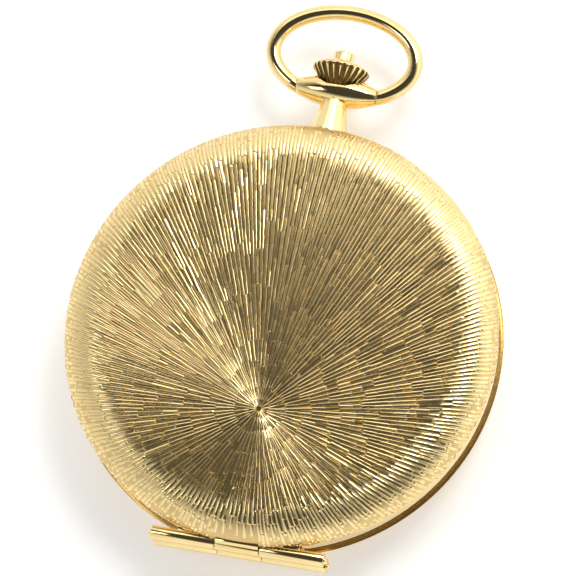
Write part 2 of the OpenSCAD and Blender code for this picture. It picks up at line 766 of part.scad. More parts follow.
// Outline of a bridge cut from the movement's round
module bridge_blank(points) {
    translate([0, 0, bridge_lo]) linear_extrude(bridge_t) intersection() {
        circle(r = movement_r - 0.4, $fn = 180);
        difference() {
            polygon(points);
            translate(balance_at) circle(r = balance_r + 0.6);
        }
    }
}

module barrel_bridge() {
    color("silver") difference() {
        union() {
            bridge_blank([[-20, -8.6], [-9, -8.6], [-4.4, -5.4], [1.2, -2.4], [2.2, 1],
                [2.3, 6], [6.9, 11.4], [8, 20], [-20, 20]]);
            translate([crown_wheel_at[0], crown_wheel_at[1], bridge_lo])
                cylinder(r = well_r + well_wall, h = well_floor_z + 0.25 - bridge_lo);
        }
        translate([crown_wheel_at[0], crown_wheel_at[1], bridge_lo - 1])
            cylinder(r = well_r, h = well_floor_z - bridge_lo + 1);
        translate([-1.35, winding_y0 - 0.6, bridge_hi + eps])
            cube([2.7, winding_y1 - winding_y0 + 0.75, case_t]);
        arbor_holes(concat(barrel_jewels, [[barrel_at, barrel_arbor_r]]));
        jewel_seats(barrel_jewels, bridge_lo);
        screw_holes(barrel_screws);
        translate([click_at[0], click_at[1], 0]) cylinder(r = arbor_r, h = case_t);
    }
}

module train_bridge() {
    color("silver") difference() {
        bridge_blank([[1.6, -2.6], [2.55, 1], [2.65, 5.8], [7.2, 11.2], [8.4, 20], [20, 20],
            [20, -8.4], [10.8, -7.4], [6, -6.8]]);
        arbor_holes(train_jewels);
        jewel_seats(train_jewels, bridge_lo);
        screw_holes(train_screws);
    }
}

module balance_cock() {
    cock_t = cock_hi - cock_lo;
    stud_at = balance_at + polar(hairspring_out + hairspring_t + stud_r + 0.01,
        bearing(balance_at, cock_screw));
    color("silver") difference() {
        union() {
            translate([0, 0, cock_lo]) linear_extrude(cock_t) union() {
                translate(balance_at) circle(r = 1.9);
                translate(cock_screw) circle(r = foot_pillar_r);
                polygon([balance_at + [-0.6, 1.8], balance_at + [0.6, -1.8],
                    cock_screw + [0.5, -1.6], cock_screw + [-0.5, 1.6]]);
            }
            translate([stud_at[0], stud_at[1], cock_hi - eps])
                cylinder(r = stud_r, h = hairspring_z + hairspring_h - cock_hi);
        }
        arbor_holes(cock_jewels);
        jewel_seats(cock_jewels, cock_lo);
        screw_holes([cock_screw]);
    }
}

module pallet_bridge() {
    color("silver") difference() {
        translate([0, 0, pallet_bridge_z]) linear_extrude(pallet_bridge_t) union() {
            translate(pallet_at) circle(r = 0.95);
            translate(pallet_screw) circle(r = 0.9);
            polygon([pallet_at + [0.4, 0.8], pallet_at + [-0.4, -0.8],
                pallet_screw + [-0.4, -0.75], pallet_screw + [0.4, 0.75]]);
        }
        arbor_holes(pallet_jewels);
        jewel_seats(pallet_jewels, pallet_bridge_z - 0.1);
        screw_holes([pallet_screw]);
    }
}

// Slotted cheese-head screw whose head stands back from face z
module screw(p, z, l, head_r, head_h) {
    translate([p[0], p[1], 0]) difference() {
        union() {
            translate([0, 0, z - eps]) cylinder(r = bridge_screw_r, h = l);
            translate([0, 0, z - head_h]) cylinder(r = head_r, h = head_h);
        }
        translate([-head_r - 1, -0.1, z - head_h - eps]) cube([2 * head_r + 2, 0.2, 0.15]);
    }
}

module bridge_screws() {
    color("steelblue") {
        for (p = concat(barrel_screws, train_screws))
            screw(p, bridge_lo, plate_lo - bridge_lo + 0.3, 0.8, 0.3);
        screw(cock_screw, cock_lo, plate_lo - cock_lo + 0.3, 0.9, 0.3);
        screw(pallet_screw, pallet_bridge_z, plate_lo - pallet_bridge_z + 0.3, 0.7, 0.25);
        translate([click_at[0], click_at[1], 0]) {
            arbor(ratchet_z - 0.2, ratchet_z + 0.02, 0.5);
            arbor(ratchet_z, bridge_hi, arbor_r);
        }
    }
}

module case_screws() {
    color("steelblue") for (a = case_screw_angles)
        rotate(a) screw([case_screw_at, 0], plate_lo, 0.6, case_head_r, 0.35);
}

module jewel_set(list, z) {
    for (c = list)
        translate([c[0][0], c[0][1], z]) tube(jewel_r, c[1] + run_gap, jewel_t);
}

module jewels() {
    color("crimson") {
        jewel_set(barrel_jewels, bridge_lo);
        jewel_set(train_jewels, bridge_lo);
        jewel_set(cock_jewels, cock_lo);
        jewel_set(pallet_jewels, pallet_bridge_z - 0.1);
    }
}

module dial() {
    color("white") difference() {
        union() {
            translate([0, 0, dial_lo]) cylinder(r = movement_r, h = dial_t, $fn = 180);
            for (a = dial_foot_angles)
                rotate(a) translate([movement_r - 3, 0, dial_lo - 0.8]) cylinder(r = dial_foot_r, h = 0.8 + eps);
        }
        translate([0, 0, dial_lo - 1]) cylinder(r = 1, h = 2);
        translate([fourth_at[0], fourth_at[1], dial_hi - 0.12]) cylinder(r = seconds_hand_l + 0.5, h = 1);
        translate([fourth_at[0], fourth_at[1], dial_lo - 1]) cylinder(r = 0.4, h = 2);
    }
}

module hour_markers() {
    marker_at = movement_r - 4 + marker_l / 2;
    marker_h = 0.15;
    color("gold") for (i = [0:11])
        for (s = i == 0 ? [-1, 1] : [0])
            rotate(180 - 30 * i) translate([marker_at, s * marker_w * 0.8, dial_hi + marker_h / 2])
                cube([marker_l, marker_w, marker_h], center = true);
}

// Spiral strip from radius r0 to r1 over a number of turns
module spiral(r0, r1, turns, w, h) {
    steps = turns * 30;
    function reach(i) = r0 + (r1 - r0) * i / steps;
    linear_extrude(h) polygon(concat(
        [for (i = [0:steps]) polar(reach(i), i * 12)],
        [for (i = [steps:-1:0]) polar(reach(i) + w, i * 12)]));
}

module barrel() {
    wall = 0.2;
    color("goldenrod") translate([barrel_at[0], barrel_at[1], 0]) difference() {
        union() {
            translate([0, 0, barrel_lo]) cylinder(r = drum_r, h = barrel_h, $fn = 96);
            translate([0, 0, barrel_tooth_z]) rotate(barrel_turn)
                toothed(teeth_barrel, module_barrel, barrel_tooth_t);
        }
        translate([0, 0, barrel_lo + wall]) cylinder(r = drum_r - 0.4, h = barrel_h - 2 * wall, $fn = 96);
        cylinder(r = barrel_arbor_r + run_gap, h = case_t);
    }
}

module mainspring() {
    strip = 0.16;
    color("slategray") translate([barrel_at[0], barrel_at[1], barrel_lo + 0.35])
        spiral(barrel_arbor_r + 0.7, drum_r - 0.4 - strip - 0.02, mainspring_turns, strip, barrel_h - 0.7);
}

module barrel_arbor() {
    color("silver") translate([barrel_at[0], barrel_at[1], 0]) {
        translate([0, 0, ratchet_z + 0.1]) cylinder(r = barrel_arbor_r, h = plate_hi - 0.2 - ratchet_z - 0.1);
        translate([0, 0, barrel_lo + 0.3]) cylinder(r = barrel_arbor_r + 0.4, h = barrel_h - 0.6);
        translate([0, 0, ratchet_z - 0.25]) cylinder(r = 1.3, h = 0.25);
        translate([0, 0, ratchet_z - eps]) cylinder(r = barrel_arbor_r - 0.1, h = 0.12);
    }
}

module ratchet_wheel() {
    color("silver") translate([barrel_at[0], barrel_at[1], ratchet_z]) difference() {
        rotate(ratchet_turn) toothed(teeth_ratchet, module_ratchet, ratchet_t);
        translate([0, 0, -eps]) cylinder(r = barrel_arbor_r, h = 1);
    }
}

module crown_wheel() {
    root_z = contrate_hi - 0.3;
    tooth_w = 0.15;
    color("silver") translate([crown_wheel_at[0], crown_wheel_at[1], 0]) {
        difference() {
            union() {
                translate([0, 0, ratchet_z]) toothed(teeth_crown_wheel, module_ratchet, ratchet_t);
                translate([0, 0, ratchet_z + ratchet_t - eps])
                    cylinder(r = contrate_r + contrate_half, h = root_z - ratchet_z - ratchet_t + eps);
                for (i = [0:teeth_contrate - 1])
                    rotate(-90 + (i + 0.5) * 360 / teeth_contrate)
                        translate([contrate_r - contrate_half, -tooth_w / 2, root_z - eps])
                            cube([2 * contrate_half, tooth_w, contrate_hi - root_z + eps]);
            }
            cylinder(r = contrate_r - contrate_half, h = case_t);
        }
    }
}

module crown_wheel_core() {
    color("silver") translate([crown_wheel_at[0], crown_wheel_at[1], 0]) {
        translate([0, 0, ratchet_z]) cylinder(r = contrate_r - contrate_half - run_gap,
            h = well_floor_z - ratchet_z);
        translate([0, 0, ratchet_z - 0.3]) cylinder(r = contrate_r + 0.5, h = 0.25);
        translate([0, 0, ratchet_z - 0.1]) cylinder(r = contrate_r - contrate_half - 0.1, h = 0.15);
    }
}

module click() {
    color("silver") difference() {
        translate([click_at[0], click_at[1], ratchet_z + 0.05]) rotate(click_angle + 180)
            linear_extrude(ratchet_t - 0.1) union() {
                circle(r = 0.75);
                bar([0, 0.2], [1.08, 0.7], 0.5);
            }
        translate([click_at[0], click_at[1], 0]) cylinder(r = arbor_r + run_gap, h = case_t);
    }
}

module click_spring() {
    foot_angle = click_angle + 25;
    foot_h = bridge_lo - ratchet_z - 0.1;
    color("silver") translate([click_at[0], click_at[1], ratchet_z + 0.1]) {
        rotate(foot_angle) rotate_extrude(angle = 160) translate([0.95, 0]) square([0.16, foot_h - 0.05]);
        rotate(foot_angle) translate([1.2, 0, 0]) cylinder(r = 0.35, h = foot_h);
    }
}

module arbor(z0, z1, r) {
    translate([0, 0, z0]) cylinder(r = r, h = z1 - z0);
}

module centre_wheel() {
    color("goldenrod") {
        translate([0, 0, centre_wheel_z]) rotate(centre_turn)
            spoked(teeth_centre, module_centre, wheel_t, 5, 1);
        translate([0, 0, barrel_tooth_z - 0.1]) toothed(teeth_centre_pinion, module_barrel, barrel_tooth_t + 0.15);
        arbor(bridge_lo + 0.02, minute_z + hand_t - 0.03, centre_arbor_r);
    }
}

module third_wheel() {
    color("goldenrod") translate([third_at[0], third_at[1], 0]) {
        translate([0, 0, third_wheel_z]) rotate(third_turn)
            spoked(teeth_third, module_third, wheel_t, 5, 0.9);
        translate([0, 0, centre_wheel_z - 0.15]) toothed(teeth_pinion, module_centre, wheel_t + 0.3);
        arbor(bridge_lo + 0.02, plate_hi - 0.3, arbor_r);
    }
}

module fourth_wheel() {
    color("goldenrod") translate([fourth_at[0], fourth_at[1], 0]) {
        translate([0, 0, fourth_wheel_z]) spoked(teeth_fourth, module_fourth, wheel_t, 5, 0.8);
        translate([0, 0, third_wheel_z - 0.15]) toothed(teeth_pinion, module_third, wheel_t + 0.3);
        arbor(bridge_lo + 0.02, seconds_z + hand_t - 0.01, arbor_r);
    }
}

module escape_wheel() {
    root_r = escape_r - 0.75;
    color("goldenrod") translate([escape_at[0], escape_at[1], 0]) {
        translate([0, 0, escape_wheel_z]) linear_extrude(escape_wheel_t) difference() {
            polygon([for (i = [0:teeth_escape - 1])
                for (c = [[0, root_r], [3, escape_r], [5.5, escape_r - 0.06], [7, root_r]])
                    polar(c[1], i * 360 / teeth_escape + c[0])]);
            for (i = [0:3])
                rotate(i * 90) translate([1.15, 0]) circle(r = 0.42, $fn = 24);
        }
        translate([0, 0, fourth_wheel_z - 0.1]) rotate(escape_turn)
            toothed(teeth_escape_pinion, module_fourth, wheel_t + 0.25);
        arbor(bridge_lo + 0.02, plate_hi - 0.3, arbor_r);
    }
}

module pallet_fork() {
    pin_at = norm(balance_at - pallet_at) - impulse_r;
    stone_off = escape_r + 0.04;
    color("silver") translate([pallet_at[0], pallet_at[1], 0]) rotate(lever_angle) {
        translate([0, 0, escape_wheel_z]) linear_extrude(fork_t) difference() {
            union() {
                circle(r = 0.5, $fn = 32);
                polygon([[0, -0.4], [pin_at - 0.4, -0.16], [pin_at + 0.2, -0.42], [pin_at + 0.2, 0.42],
                    [pin_at - 0.4, 0.16], [0, 0.4]]);
                for (s = [-1, 1])
                    polygon([[-0.3, 0], [0.3, 0], [-pallet_reach + 2.75, s * 1.62],
                        [-pallet_reach + 2.3, s * 1.72]]);
                for (s = [-1, 1])
                    translate([-pallet_reach, 0]) rotate(s * 30) translate([stone_off, -0.14])
                        square([0.5, 0.28]);
            }
            translate([pin_at - 0.25, -0.16]) square([1, 0.32]);
        }
        arbor(pallet_bridge_z - 0.06, plate_hi - 0.3, arbor_r);
    }
}

module balance_wheel() {
    rim_w = 0.5;
    color("gold") translate([balance_at[0], balance_at[1], balance_z]) difference() {
        union() {
            tube(balance_r, balance_r - rim_w, balance_t);
            translate([0, 0, 0.1]) linear_extrude(0.2) difference() {
                union() {
                    square([2 * balance_r - rim_w, 0.7], center = true);
                    circle(r = 0.8);
                }
            }
        }
        translate([0, 0, -1]) cylinder(r = staff_r, h = 3);
    }
}

module balance_staff() {
    roller_z = escape_wheel_z - 0.5;
    color("silver") translate([balance_at[0], balance_at[1], 0]) {
        arbor(cock_lo + 0.02, plate_hi - 0.3, staff_r);
        translate([0, 0, roller_z]) cylinder(r = impulse_r + 0.3, h = 0.2);
        translate([0, 0, hairspring_z]) cylinder(r = staff_r + 0.3, h = hairspring_h);
        rotate(lever_angle + 180) translate([impulse_r, 0, roller_z + 0.2 - eps])
            cylinder(r = 0.12, h = escape_wheel_z + fork_t + 0.05 - roller_z - 0.2);
    }
}

module hairspring() {
    color("steelblue") translate([balance_at[0], balance_at[1], hairspring_z])
        rotate(bearing(balance_at, cock_screw))
            spiral(staff_r + 0.33, hairspring_out, hairspring_turns, hairspring_t, hairspring_h);
}

module regulator() {
    color("silver") translate([balance_at[0], balance_at[1], cock_lo - 0.2]) {
        tube(1.7, 0.9, 0.2);
        rotate(100) translate([1.5, -0.2, 0]) cube([1.9, 0.4, 0.2]);
    }
}

module cannon_pinion() {
    color("silver") difference() {
        union() {
            translate([0, 0, recess_lo + 0.04]) toothed(teeth_cannon, module_dial, dial_wheel_t + 0.08);
            arbor(recess_lo + 0.04, minute_z + hand_t, cannon_r);
        }
        cylinder(r = centre_arbor_r + run_gap, h = case_t);
    }
}

module minute_wheel() {
    color("goldenrod") translate([minute_at[0], minute_at[1], recess_lo + 0.05]) difference() {
        union() {
            rotate(minute_turn) toothed(teeth_minute, module_dial, dial_wheel_t);
            toothed(teeth_minute_pinion, module_hour, plate_hi - recess_lo - 0.1);
        }
        translate([0, 0, -eps]) cylinder(r = arbor_r + run_gap, h = 1);
    }
}

module setting_wheel() {
    color("silver") translate([setting_at[0], setting_at[1], recess_lo + 0.05]) difference() {
        rotate(setting_turn) toothed(teeth_setting, module_dial, dial_wheel_t);
        translate([0, 0, -eps]) cylinder(r = arbor_r + run_gap, h = 1);
    }
}

module hour_wheel() {
    wheel_z = recess_lo + 0.3;
    color("goldenrod") difference() {
        union() {
            translate([0, 0, wheel_z]) rotate(hour_turn) toothed(teeth_hour, module_hour, dial_wheel_t);
            arbor(wheel_z, hour_z + hand_t, hour_tube_r);
        }
        cylinder(r = cannon_r + 0.05, h = case_t);
    }
}

// Leaf-shaped hand pointing along +X
module hand(l, hub_r, bore_r, w) {
    linear_extrude(hand_t) difference() {
        union() {
            circle(r = hub_r, $fn = 48);
            polygon([[0, -w / 3], [l * 0.3, -w / 3], [l * 0.55, -w / 2], [l, 0],
                [l * 0.55, w / 2], [l * 0.3, w / 3], [0, w / 3]]);
        }
        circle(r = bore_r, $fn = 48);
    }
}

module minute_hand() {
    color("steelblue") translate([0, 0, minute_z]) rotate(120)
        hand(minute_hand_l, cannon_r + 0.5, cannon_r, 1.1);
}

module hour_hand() {
    color("steelblue") translate([0, 0, hour_z]) rotate(-125)
        hand(hour_hand_l, hour_tube_r + 0.5, hour_tube_r, 1.5);
}

module seconds_hand() {
    color("steelblue") translate([fourth_at[0], fourth_at[1], seconds_z]) rotate(-30)
        hand(seconds_hand_l, arbor_r + 0.35, arbor_r, 0.4);
}

module winding_pinion() {
    color("silver") translate([0, winding_y0, mid]) rotate([-90, 0, 0]) difference() {
        union() {
            rotate(90) toothed(teeth_winding, 2 * winding_r / teeth_winding, winding_y1 - winding_y0);
            translate([0, 0, -0.25]) cylinder(r = 0.8, h = 0.3);
        }
        translate([0, 0, -1]) cylinder(r = stem_r + run_gap, h = 3);
    }
}

module sliding_pinion() {
    body_l = 1.3;
    color("silver") translate([0, sliding_y, mid]) rotate([-90, 0, 0]) difference() {
        union() {
            toothed(teeth_winding, 2 * (winding_r - 0.1) / teeth_winding, 0.4);
            cylinder(r = 0.75, h = body_l);
            translate([0, 0, body_l - 0.3]) cylinder(r = winding_r - 0.1, h = 0.3);
        }
        translate([0, 0, -1]) cylinder(r = stem_r + run_gap, h = 3);
    }
}

module setting_lever() {
    lever_z = recess_lo + 0.15;
    color("silver") {
        translate([0, lever_y, lever_z]) linear_extrude(0.35) union() {
            translate([lever_arm, 0]) circle(r = 0.6);
            circle(r = 0.35);
            polygon([[0, -0.3], [lever_arm, -0.5], [lever_arm, 0.5], [0, 0.3]]);
        }
        translate([0, lever_y, mid + stem_r - 0.15]) cylinder(r = 0.18, h = lever_z - mid - stem_r + 0.2);
        translate([lever_arm, lever_y, plate_lo + 0.05]) cylinder(r = arbor_r, h = lever_z - plate_lo);
    }
}

// Flat bar of width w between two points of the plan
module bar(p, q, w) {
    translate(p) rotate(bearing(p, q)) translate([0, -w / 2]) square([norm(q - p), w]);
}

module yoke() {
    yoke_t = 0.3;
    tip = [-0.8, sliding_y + 0.7];
    elbow = [-1.9, sliding_y + 0.95];
    pivot = [-3, 12.6];
    color("silver") translate([0, 0, plate_lo - yoke_t]) linear_extrude(yoke_t) union() {
        translate(pivot) circle(r = 0.6);
        translate(elbow) circle(r = 0.25);
        bar(elbow, pivot, 0.5);
        bar(elbow, tip, 0.3);
    }
}

case_band();
front_lid();
back_cover();
front_hinge_pin();
back_hinge_pin();
bezel();
crystal();
pendant();
bow();
crown();
lid_pusher();
winding_stem();
lid_catch();
lid_catch_screw();
lift_spring();
lift_spring_screw();
main_plate();
barrel_bridge();
train_bridge();
balance_cock();
pallet_bridge();
bridge_screws();
case_screws();
jewels();
dial();
hour_markers();
barrel();
mainspring();
barrel_arbor();
ratchet_wheel();
crown_wheel();
crown_wheel_core();
click();
click_spring();
centre_wheel();
third_wheel();
fourth_wheel();
escape_wheel();
pallet_fork();
balance_wheel();
balance_staff();
hairspring();
regulator();
cannon_pinion();
minute_wheel();
setting_wheel();
hour_wheel();
minute_hand();
hour_hand();
seconds_hand();
winding_pinion();
sliding_pinion();
setting_lever();
yoke();
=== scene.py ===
import json
import math
import random

import bmesh
import bpy
from mathutils import Matrix, Vector

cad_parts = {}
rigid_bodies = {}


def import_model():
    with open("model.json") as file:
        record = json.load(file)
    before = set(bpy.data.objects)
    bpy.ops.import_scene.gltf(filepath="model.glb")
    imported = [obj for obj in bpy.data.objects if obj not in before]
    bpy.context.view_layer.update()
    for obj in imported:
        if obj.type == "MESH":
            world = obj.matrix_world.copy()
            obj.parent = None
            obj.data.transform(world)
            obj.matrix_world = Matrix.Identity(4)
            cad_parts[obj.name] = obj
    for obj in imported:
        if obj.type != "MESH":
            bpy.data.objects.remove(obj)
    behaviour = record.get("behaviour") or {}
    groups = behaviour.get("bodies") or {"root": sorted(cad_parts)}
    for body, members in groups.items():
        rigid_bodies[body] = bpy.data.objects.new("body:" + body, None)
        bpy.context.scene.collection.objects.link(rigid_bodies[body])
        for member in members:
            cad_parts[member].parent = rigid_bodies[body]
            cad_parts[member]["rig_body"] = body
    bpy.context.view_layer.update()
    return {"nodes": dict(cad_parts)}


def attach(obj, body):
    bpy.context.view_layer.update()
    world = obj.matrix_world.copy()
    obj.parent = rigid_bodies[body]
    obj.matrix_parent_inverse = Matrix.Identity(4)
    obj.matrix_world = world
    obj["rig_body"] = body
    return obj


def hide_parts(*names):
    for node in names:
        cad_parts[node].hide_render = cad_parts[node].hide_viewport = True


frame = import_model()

mm = 0.001
fullTurn = 2 * math.pi
shellMerge = 0.002  # points of a turned shell that are closer than this become one
scene = bpy.context.scene
scene.view_settings.view_transform = "Standard"
print("watch: frame loaded")


# Mesh helpers

def deselectAll():
    if bpy.context.object and bpy.context.object.mode != "OBJECT":
        bpy.ops.object.mode_set(mode="OBJECT")
    bpy.ops.object.select_all(action="DESELECT")


def makeActive(piece):
    deselectAll()
    piece.select_set(True)
    bpy.context.view_layer.objects.active = piece


def editMode(piece):
    makeActive(piece)
    bpy.ops.object.mode_set(mode="EDIT")
    bpy.ops.mesh.select_all(action="DESELECT")


def objectMode():
    bpy.ops.object.mode_set(mode="OBJECT")


def pickVertices(piece, test):
    shape = bmesh.from_edit_mesh(piece.data)
    bpy.ops.mesh.select_mode(type="VERT")
    bpy.ops.mesh.select_all(action="DESELECT")
    for vertex in shape.verts:
        vertex.select = test(vertex.co)
    shape.select_flush(True)
    bmesh.update_edit_mesh(piece.data)


def movePicked(piece, test, value):
    pickVertices(piece, test)
    bpy.ops.transform.translate(value=value)


def resizePicked(piece, test, value):
    pickVertices(piece, test)
    bpy.ops.transform.resize(value=value)


def settle(piece):
    makeActive(piece)
    bpy.ops.object.transform_apply(location=True, rotation=True, scale=True)


def smooth(piece, degrees=30):
    makeActive(piece)
    bpy.ops.object.shade_smooth_by_angle(angle=math.radians(degrees))


def applyModifier(piece, kind, **settings):
    makeActive(piece)
    modifier = piece.modifiers.new(kind.title(), kind)
    for name, value in settings.items():
        setattr(modifier, name, value)
    bpy.ops.object.modifier_apply(modifier=modifier.name)


def softenEdges(piece, width, degrees=30):
    applyModifier(piece, "BEVEL", width=width * mm, segments=2, limit_method="ANGLE",
                  angle_limit=math.radians(degrees), harden_normals=False)


def joinPieces(name, pieces):
    deselectAll()
    for piece in pieces:
        piece.select_set(True)
    bpy.context.view_layer.objects.active = pieces[0]
    bpy.ops.object.join()
    pieces[0].name = name
    return pieces[0]


def cleanShell(piece):
    editMode(piece)
    bpy.ops.mesh.select_all(action="SELECT")
    bpy.ops.mesh.remove_doubles(threshold=shellMerge * mm)
    bpy.ops.mesh.normals_make_consistent(inside=False)
    objectMode()


# A profile drawn point by point in millimetres and spun round Z
def turned(name, profile, steps):
    deselectAll()
    bpy.ops.mesh.primitive_plane_add(size=mm, location=(0, 0, 0))
    piece = bpy.context.object
    piece.name = name
    bpy.ops.object.mode_set(mode="EDIT")
    bpy.ops.mesh.select_mode(type="VERT")
    bpy.ops.mesh.select_all(action="SELECT")
    bpy.ops.mesh.merge(type="CENTER")
    bpy.ops.transform.translate(value=Vector(profile[0]) * mm)
    for start, end in zip(profile, profile[1:]):
        step = (Vector(end) - Vector(start)) * mm
        bpy.ops.mesh.extrude_vertices_move(TRANSFORM_OT_translate={"value": step})
    bpy.ops.mesh.select_all(action="SELECT")
    bpy.ops.mesh.spin(steps=steps, angle=fullTurn, center=(0, 0, 0), axis=(0, 0, 1))
    objectMode()
    cleanShell(piece)
    return piece


# Materials

class Wire:  # one output of a node, on which sums are written as Python
    def __init__(self, finish, socket):
        self.finish = finish
        self.socket = socket

    def __add__(self, other):
        return self.finish.reckon("ADD", self, other)

    def __radd__(self, other):
        return self.finish.reckon("ADD", other, self)

    def __sub__(self, other):
        return self.finish.reckon("SUBTRACT", self, other)

    def __rsub__(self, other):
        return self.finish.reckon("SUBTRACT", other, self)

    def __mul__(self, other):
        return self.finish.reckon("MULTIPLY", self, other)

    def __rmul__(self, other):
        return self.finish.reckon("MULTIPLY", other, self)

    def __truediv__(self, other):
        return self.finish.reckon("DIVIDE", self, other)

    def __rtruediv__(self, other):
        return self.finish.reckon("DIVIDE", other, self)


class Finish:  # the nodes of one material, or of the world
    def __init__(self, owner):
        self.owner = owner
        self.owner.use_nodes = True
        self.tree = owner.node_tree
        self.tree.nodes.clear()

    def add(self, kind, settings=None, sockets=None, output=0):
        node = self.tree.nodes.new(kind)
        for name, value in (settings or {}).items():
            setattr(node, name, value)
        for name, value in (sockets or {}).items():
            if isinstance(value, Wire):
                self.tree.links.new(value.socket, node.inputs[name])
            else:
                node.inputs[name].default_value = value
        return Wire(self, node.outputs[output]) if node.outputs else None

    # Several outputs of one new node
    def addMany(self, kind, outputs, sockets=None):
        node = self.add(kind, {}, sockets).socket.node
        return [Wire(self, node.outputs[name]) for name in outputs]

    def reckon(self, operation, *values):
        return self.add("ShaderNodeMath", {"operation": operation}, dict(enumerate(values)))

    def place(self):
        return self.add("ShaderNodeTexCoord", output="Object")

    def split(self, vector):
        return self.addMany("ShaderNodeSeparateXYZ", "XYZ", {0: vector})

    # Millimetres along X and Y from a centre, and up from the ground
    def millimetres(self, centre=(0, 0)):
        x, y, z = [part * (1 / mm) for part in self.split(self.place())]
        return x - centre[0], y - centre[1], z

    def join(self, x, y, z=0.0):
        return self.add("ShaderNodeCombineXYZ", sockets={0: x, 1: y, 2: z})

    def noise(self, vector, scale, detail=3.0):
        return self.add("ShaderNodeTexNoise", {}, {"Vector": vector, "Scale": scale, "Detail": detail})

    def mapRange(self, value, low, high, newLow=0.0, newHigh=1.0):
        sockets = {"Value": value, "From Min": low, "From Max": high, "To Min": newLow, "To Max": newHigh}
        return self.add("ShaderNodeMapRange", {"clamp": True}, sockets)

    def blend(self, factor, first, second):
        sockets = {0: factor, 6: (*first, 1) if isinstance(first, tuple) else first,
                   7: (*second, 1) if isinstance(second, tuple) else second}
        return self.add("ShaderNodeMix", {"data_type": "RGBA"}, sockets, output=2)

    def bump(self, height, distance):
        sockets = {"Height": height, "Distance": distance * mm, "Strength": 1.0}
        return self.add("ShaderNodeBump", {}, sockets)

    def show(self, shader, kind="ShaderNodeOutputMaterial"):
        self.add(kind, sockets={0: shader})
        return self.owner

    def principled(self, **sockets):
        names = {name.replace("_", " "): value for name, value in sockets.items()}
        return self.show(self.add("ShaderNodeBsdfPrincipled", {}, names))


def newFinish(name):
    return Finish(bpy.data.materials.new(name))


goldTone = {
    "bright": (0.93, 0.735, 0.37),
    "warm": (0.88, 0.66, 0.30),
    # The next two colours are gold darkened as painted shade, for the ground between the cuts and the
    # crown's flutes
    "groove": (0.22, 0.14, 0.04),
    "grooveDeepShade": (0.11, 0.065, 0.015),
    "rim": (0.72, 0.53, 0.24),
}

polishForm = {
    "patchScale": 260.0,
    "patchRange": (0.35, 0.65),
    "rubScale": (9000, 2200, 5200),  # the rub marks run along Y
    "patchRise": 0.7,
    "rubRise": 0.3,
}


# Polished metal with a slow change of tone, fine rub marks and a little waviness
def polishedMetal(name, bright, warm, rough=0.1, roughRange=0.08, wave=0.006):
    form = polishForm
    finish = newFinish(name)
    place = finish.place()
    patch = finish.noise(place, form["patchScale"])
    stretched = finish.add("ShaderNodeMapping", {}, {"Vector": place, "Scale": form["rubScale"]})
    rub = finish.noise(stretched, 1.0)
    base = finish.blend(finish.mapRange(patch, *form["patchRange"]), bright, warm)
    roughness = rub * roughRange + (rough - roughRange / 2)
    normal = finish.bump(patch * form["patchRise"] + rub * form["rubRise"], wave)
    return finish.principled(Base_Color=base, Metallic=1.0, Roughness=roughness, Normal=normal)


cutGoldForm = {
    "marks": (150, 0.9),  # tool marks: how fine round the focus, and along a cut
    "fineMarks": (420, 2.5),
    "toneShare": 0.7,
    "markShare": 0.3,
    "footShadeShare": 0.85,  # how far the foot of a cut is darkened towards the deepest groove colour: painted shade
    "rough": 0.12,
    "roughMarks": 0.12,
    "roughTone": 0.08,
    "markRise": 0.65,
    "fineRise": 0.35,
    "rise": 0.006,
}


# The chisel-cut gold: tool marks run away from the focus of the cuts
def cutMetal(name, focus, bright, warm):
    form = cutGoldForm
    finish = newFinish(name)
    x, y = finish.millimetres(focus)[:2]
    angle = finish.reckon("ARCTAN2", y, x)
    reach = finish.reckon("SQRT", x * x + y * y)
    marks = finish.noise(finish.join(angle * form["marks"][0], reach * form["marks"][1]), 1.0)
    fine = finish.noise(finish.join(angle * form["fineMarks"][0], reach * form["fineMarks"][1]), 1.0, 2.0)
    tone = finish.add("ShaderNodeAttribute", {"attribute_name": "tone"}, output="Fac")
    depth = finish.add("ShaderNodeAttribute", {"attribute_name": "depth"}, output="Fac")
    base = finish.blend(tone * form["toneShare"] + marks * form["markShare"], bright, warm)
    # The foot of each cut, where the depth attribute is 1, is darkened: painted shade in the hollows
    # between the ridges
    base = finish.blend(depth * form["footShadeShare"], base, goldTone["grooveDeepShade"])
    roughness = marks * form["roughMarks"] + tone * form["roughTone"] + form["rough"]
    normal = finish.bump(marks * form["markRise"] + fine * form["fineRise"], form["rise"])
    return finish.principled(Base_Color=base, Metallic=1.0, Roughness=roughness, Normal=normal)


grooveForm = {
    "grainScale": 2600.0,
    "grainRange": (0.3, 0.7),
    "rimRange": (18.6, 20.4),  # between these radii the painted shade of the groove colours turns into the rim's own colour
    "rough": 0.34,
    "roughGrain": 0.2,
    "rise": 0.03,
}


# Frosted metal; on the gold ground between the cuts and in the crown's flutes its dark colours are painted
# shade
def grooveMetal(name, dark, light, rim=None):
    form = grooveForm
    finish = newFinish(name)
    grain = finish.noise(finish.place(), form["grainScale"])
    base = finish.blend(finish.mapRange(grain, *form["grainRange"]), dark, light)
    if rim:
        x, y = finish.millimetres()[:2]
        radius = finish.reckon("SQRT", x * x + y * y)
        base = finish.blend(finish.mapRange(radius, *form["rimRange"]), base, rim)
    roughness = grain * form["roughGrain"] + form["rough"]
    normal = finish.bump(grain, form["rise"])
    return finish.principled(Base_Color=base, Metallic=1.0, Roughness=roughness, Normal=normal)


stripeForm = {
    "turn": 35,
    "pitch": 1.5,
    "grain": (3, 45, 3),
    "lighter": 1.12,
    "swellShare": 0.8,
    "grainShare": 0.2,
    "rough": 0.16,
    "roughGrain": 0.16,
    "rise": 0.05,
}


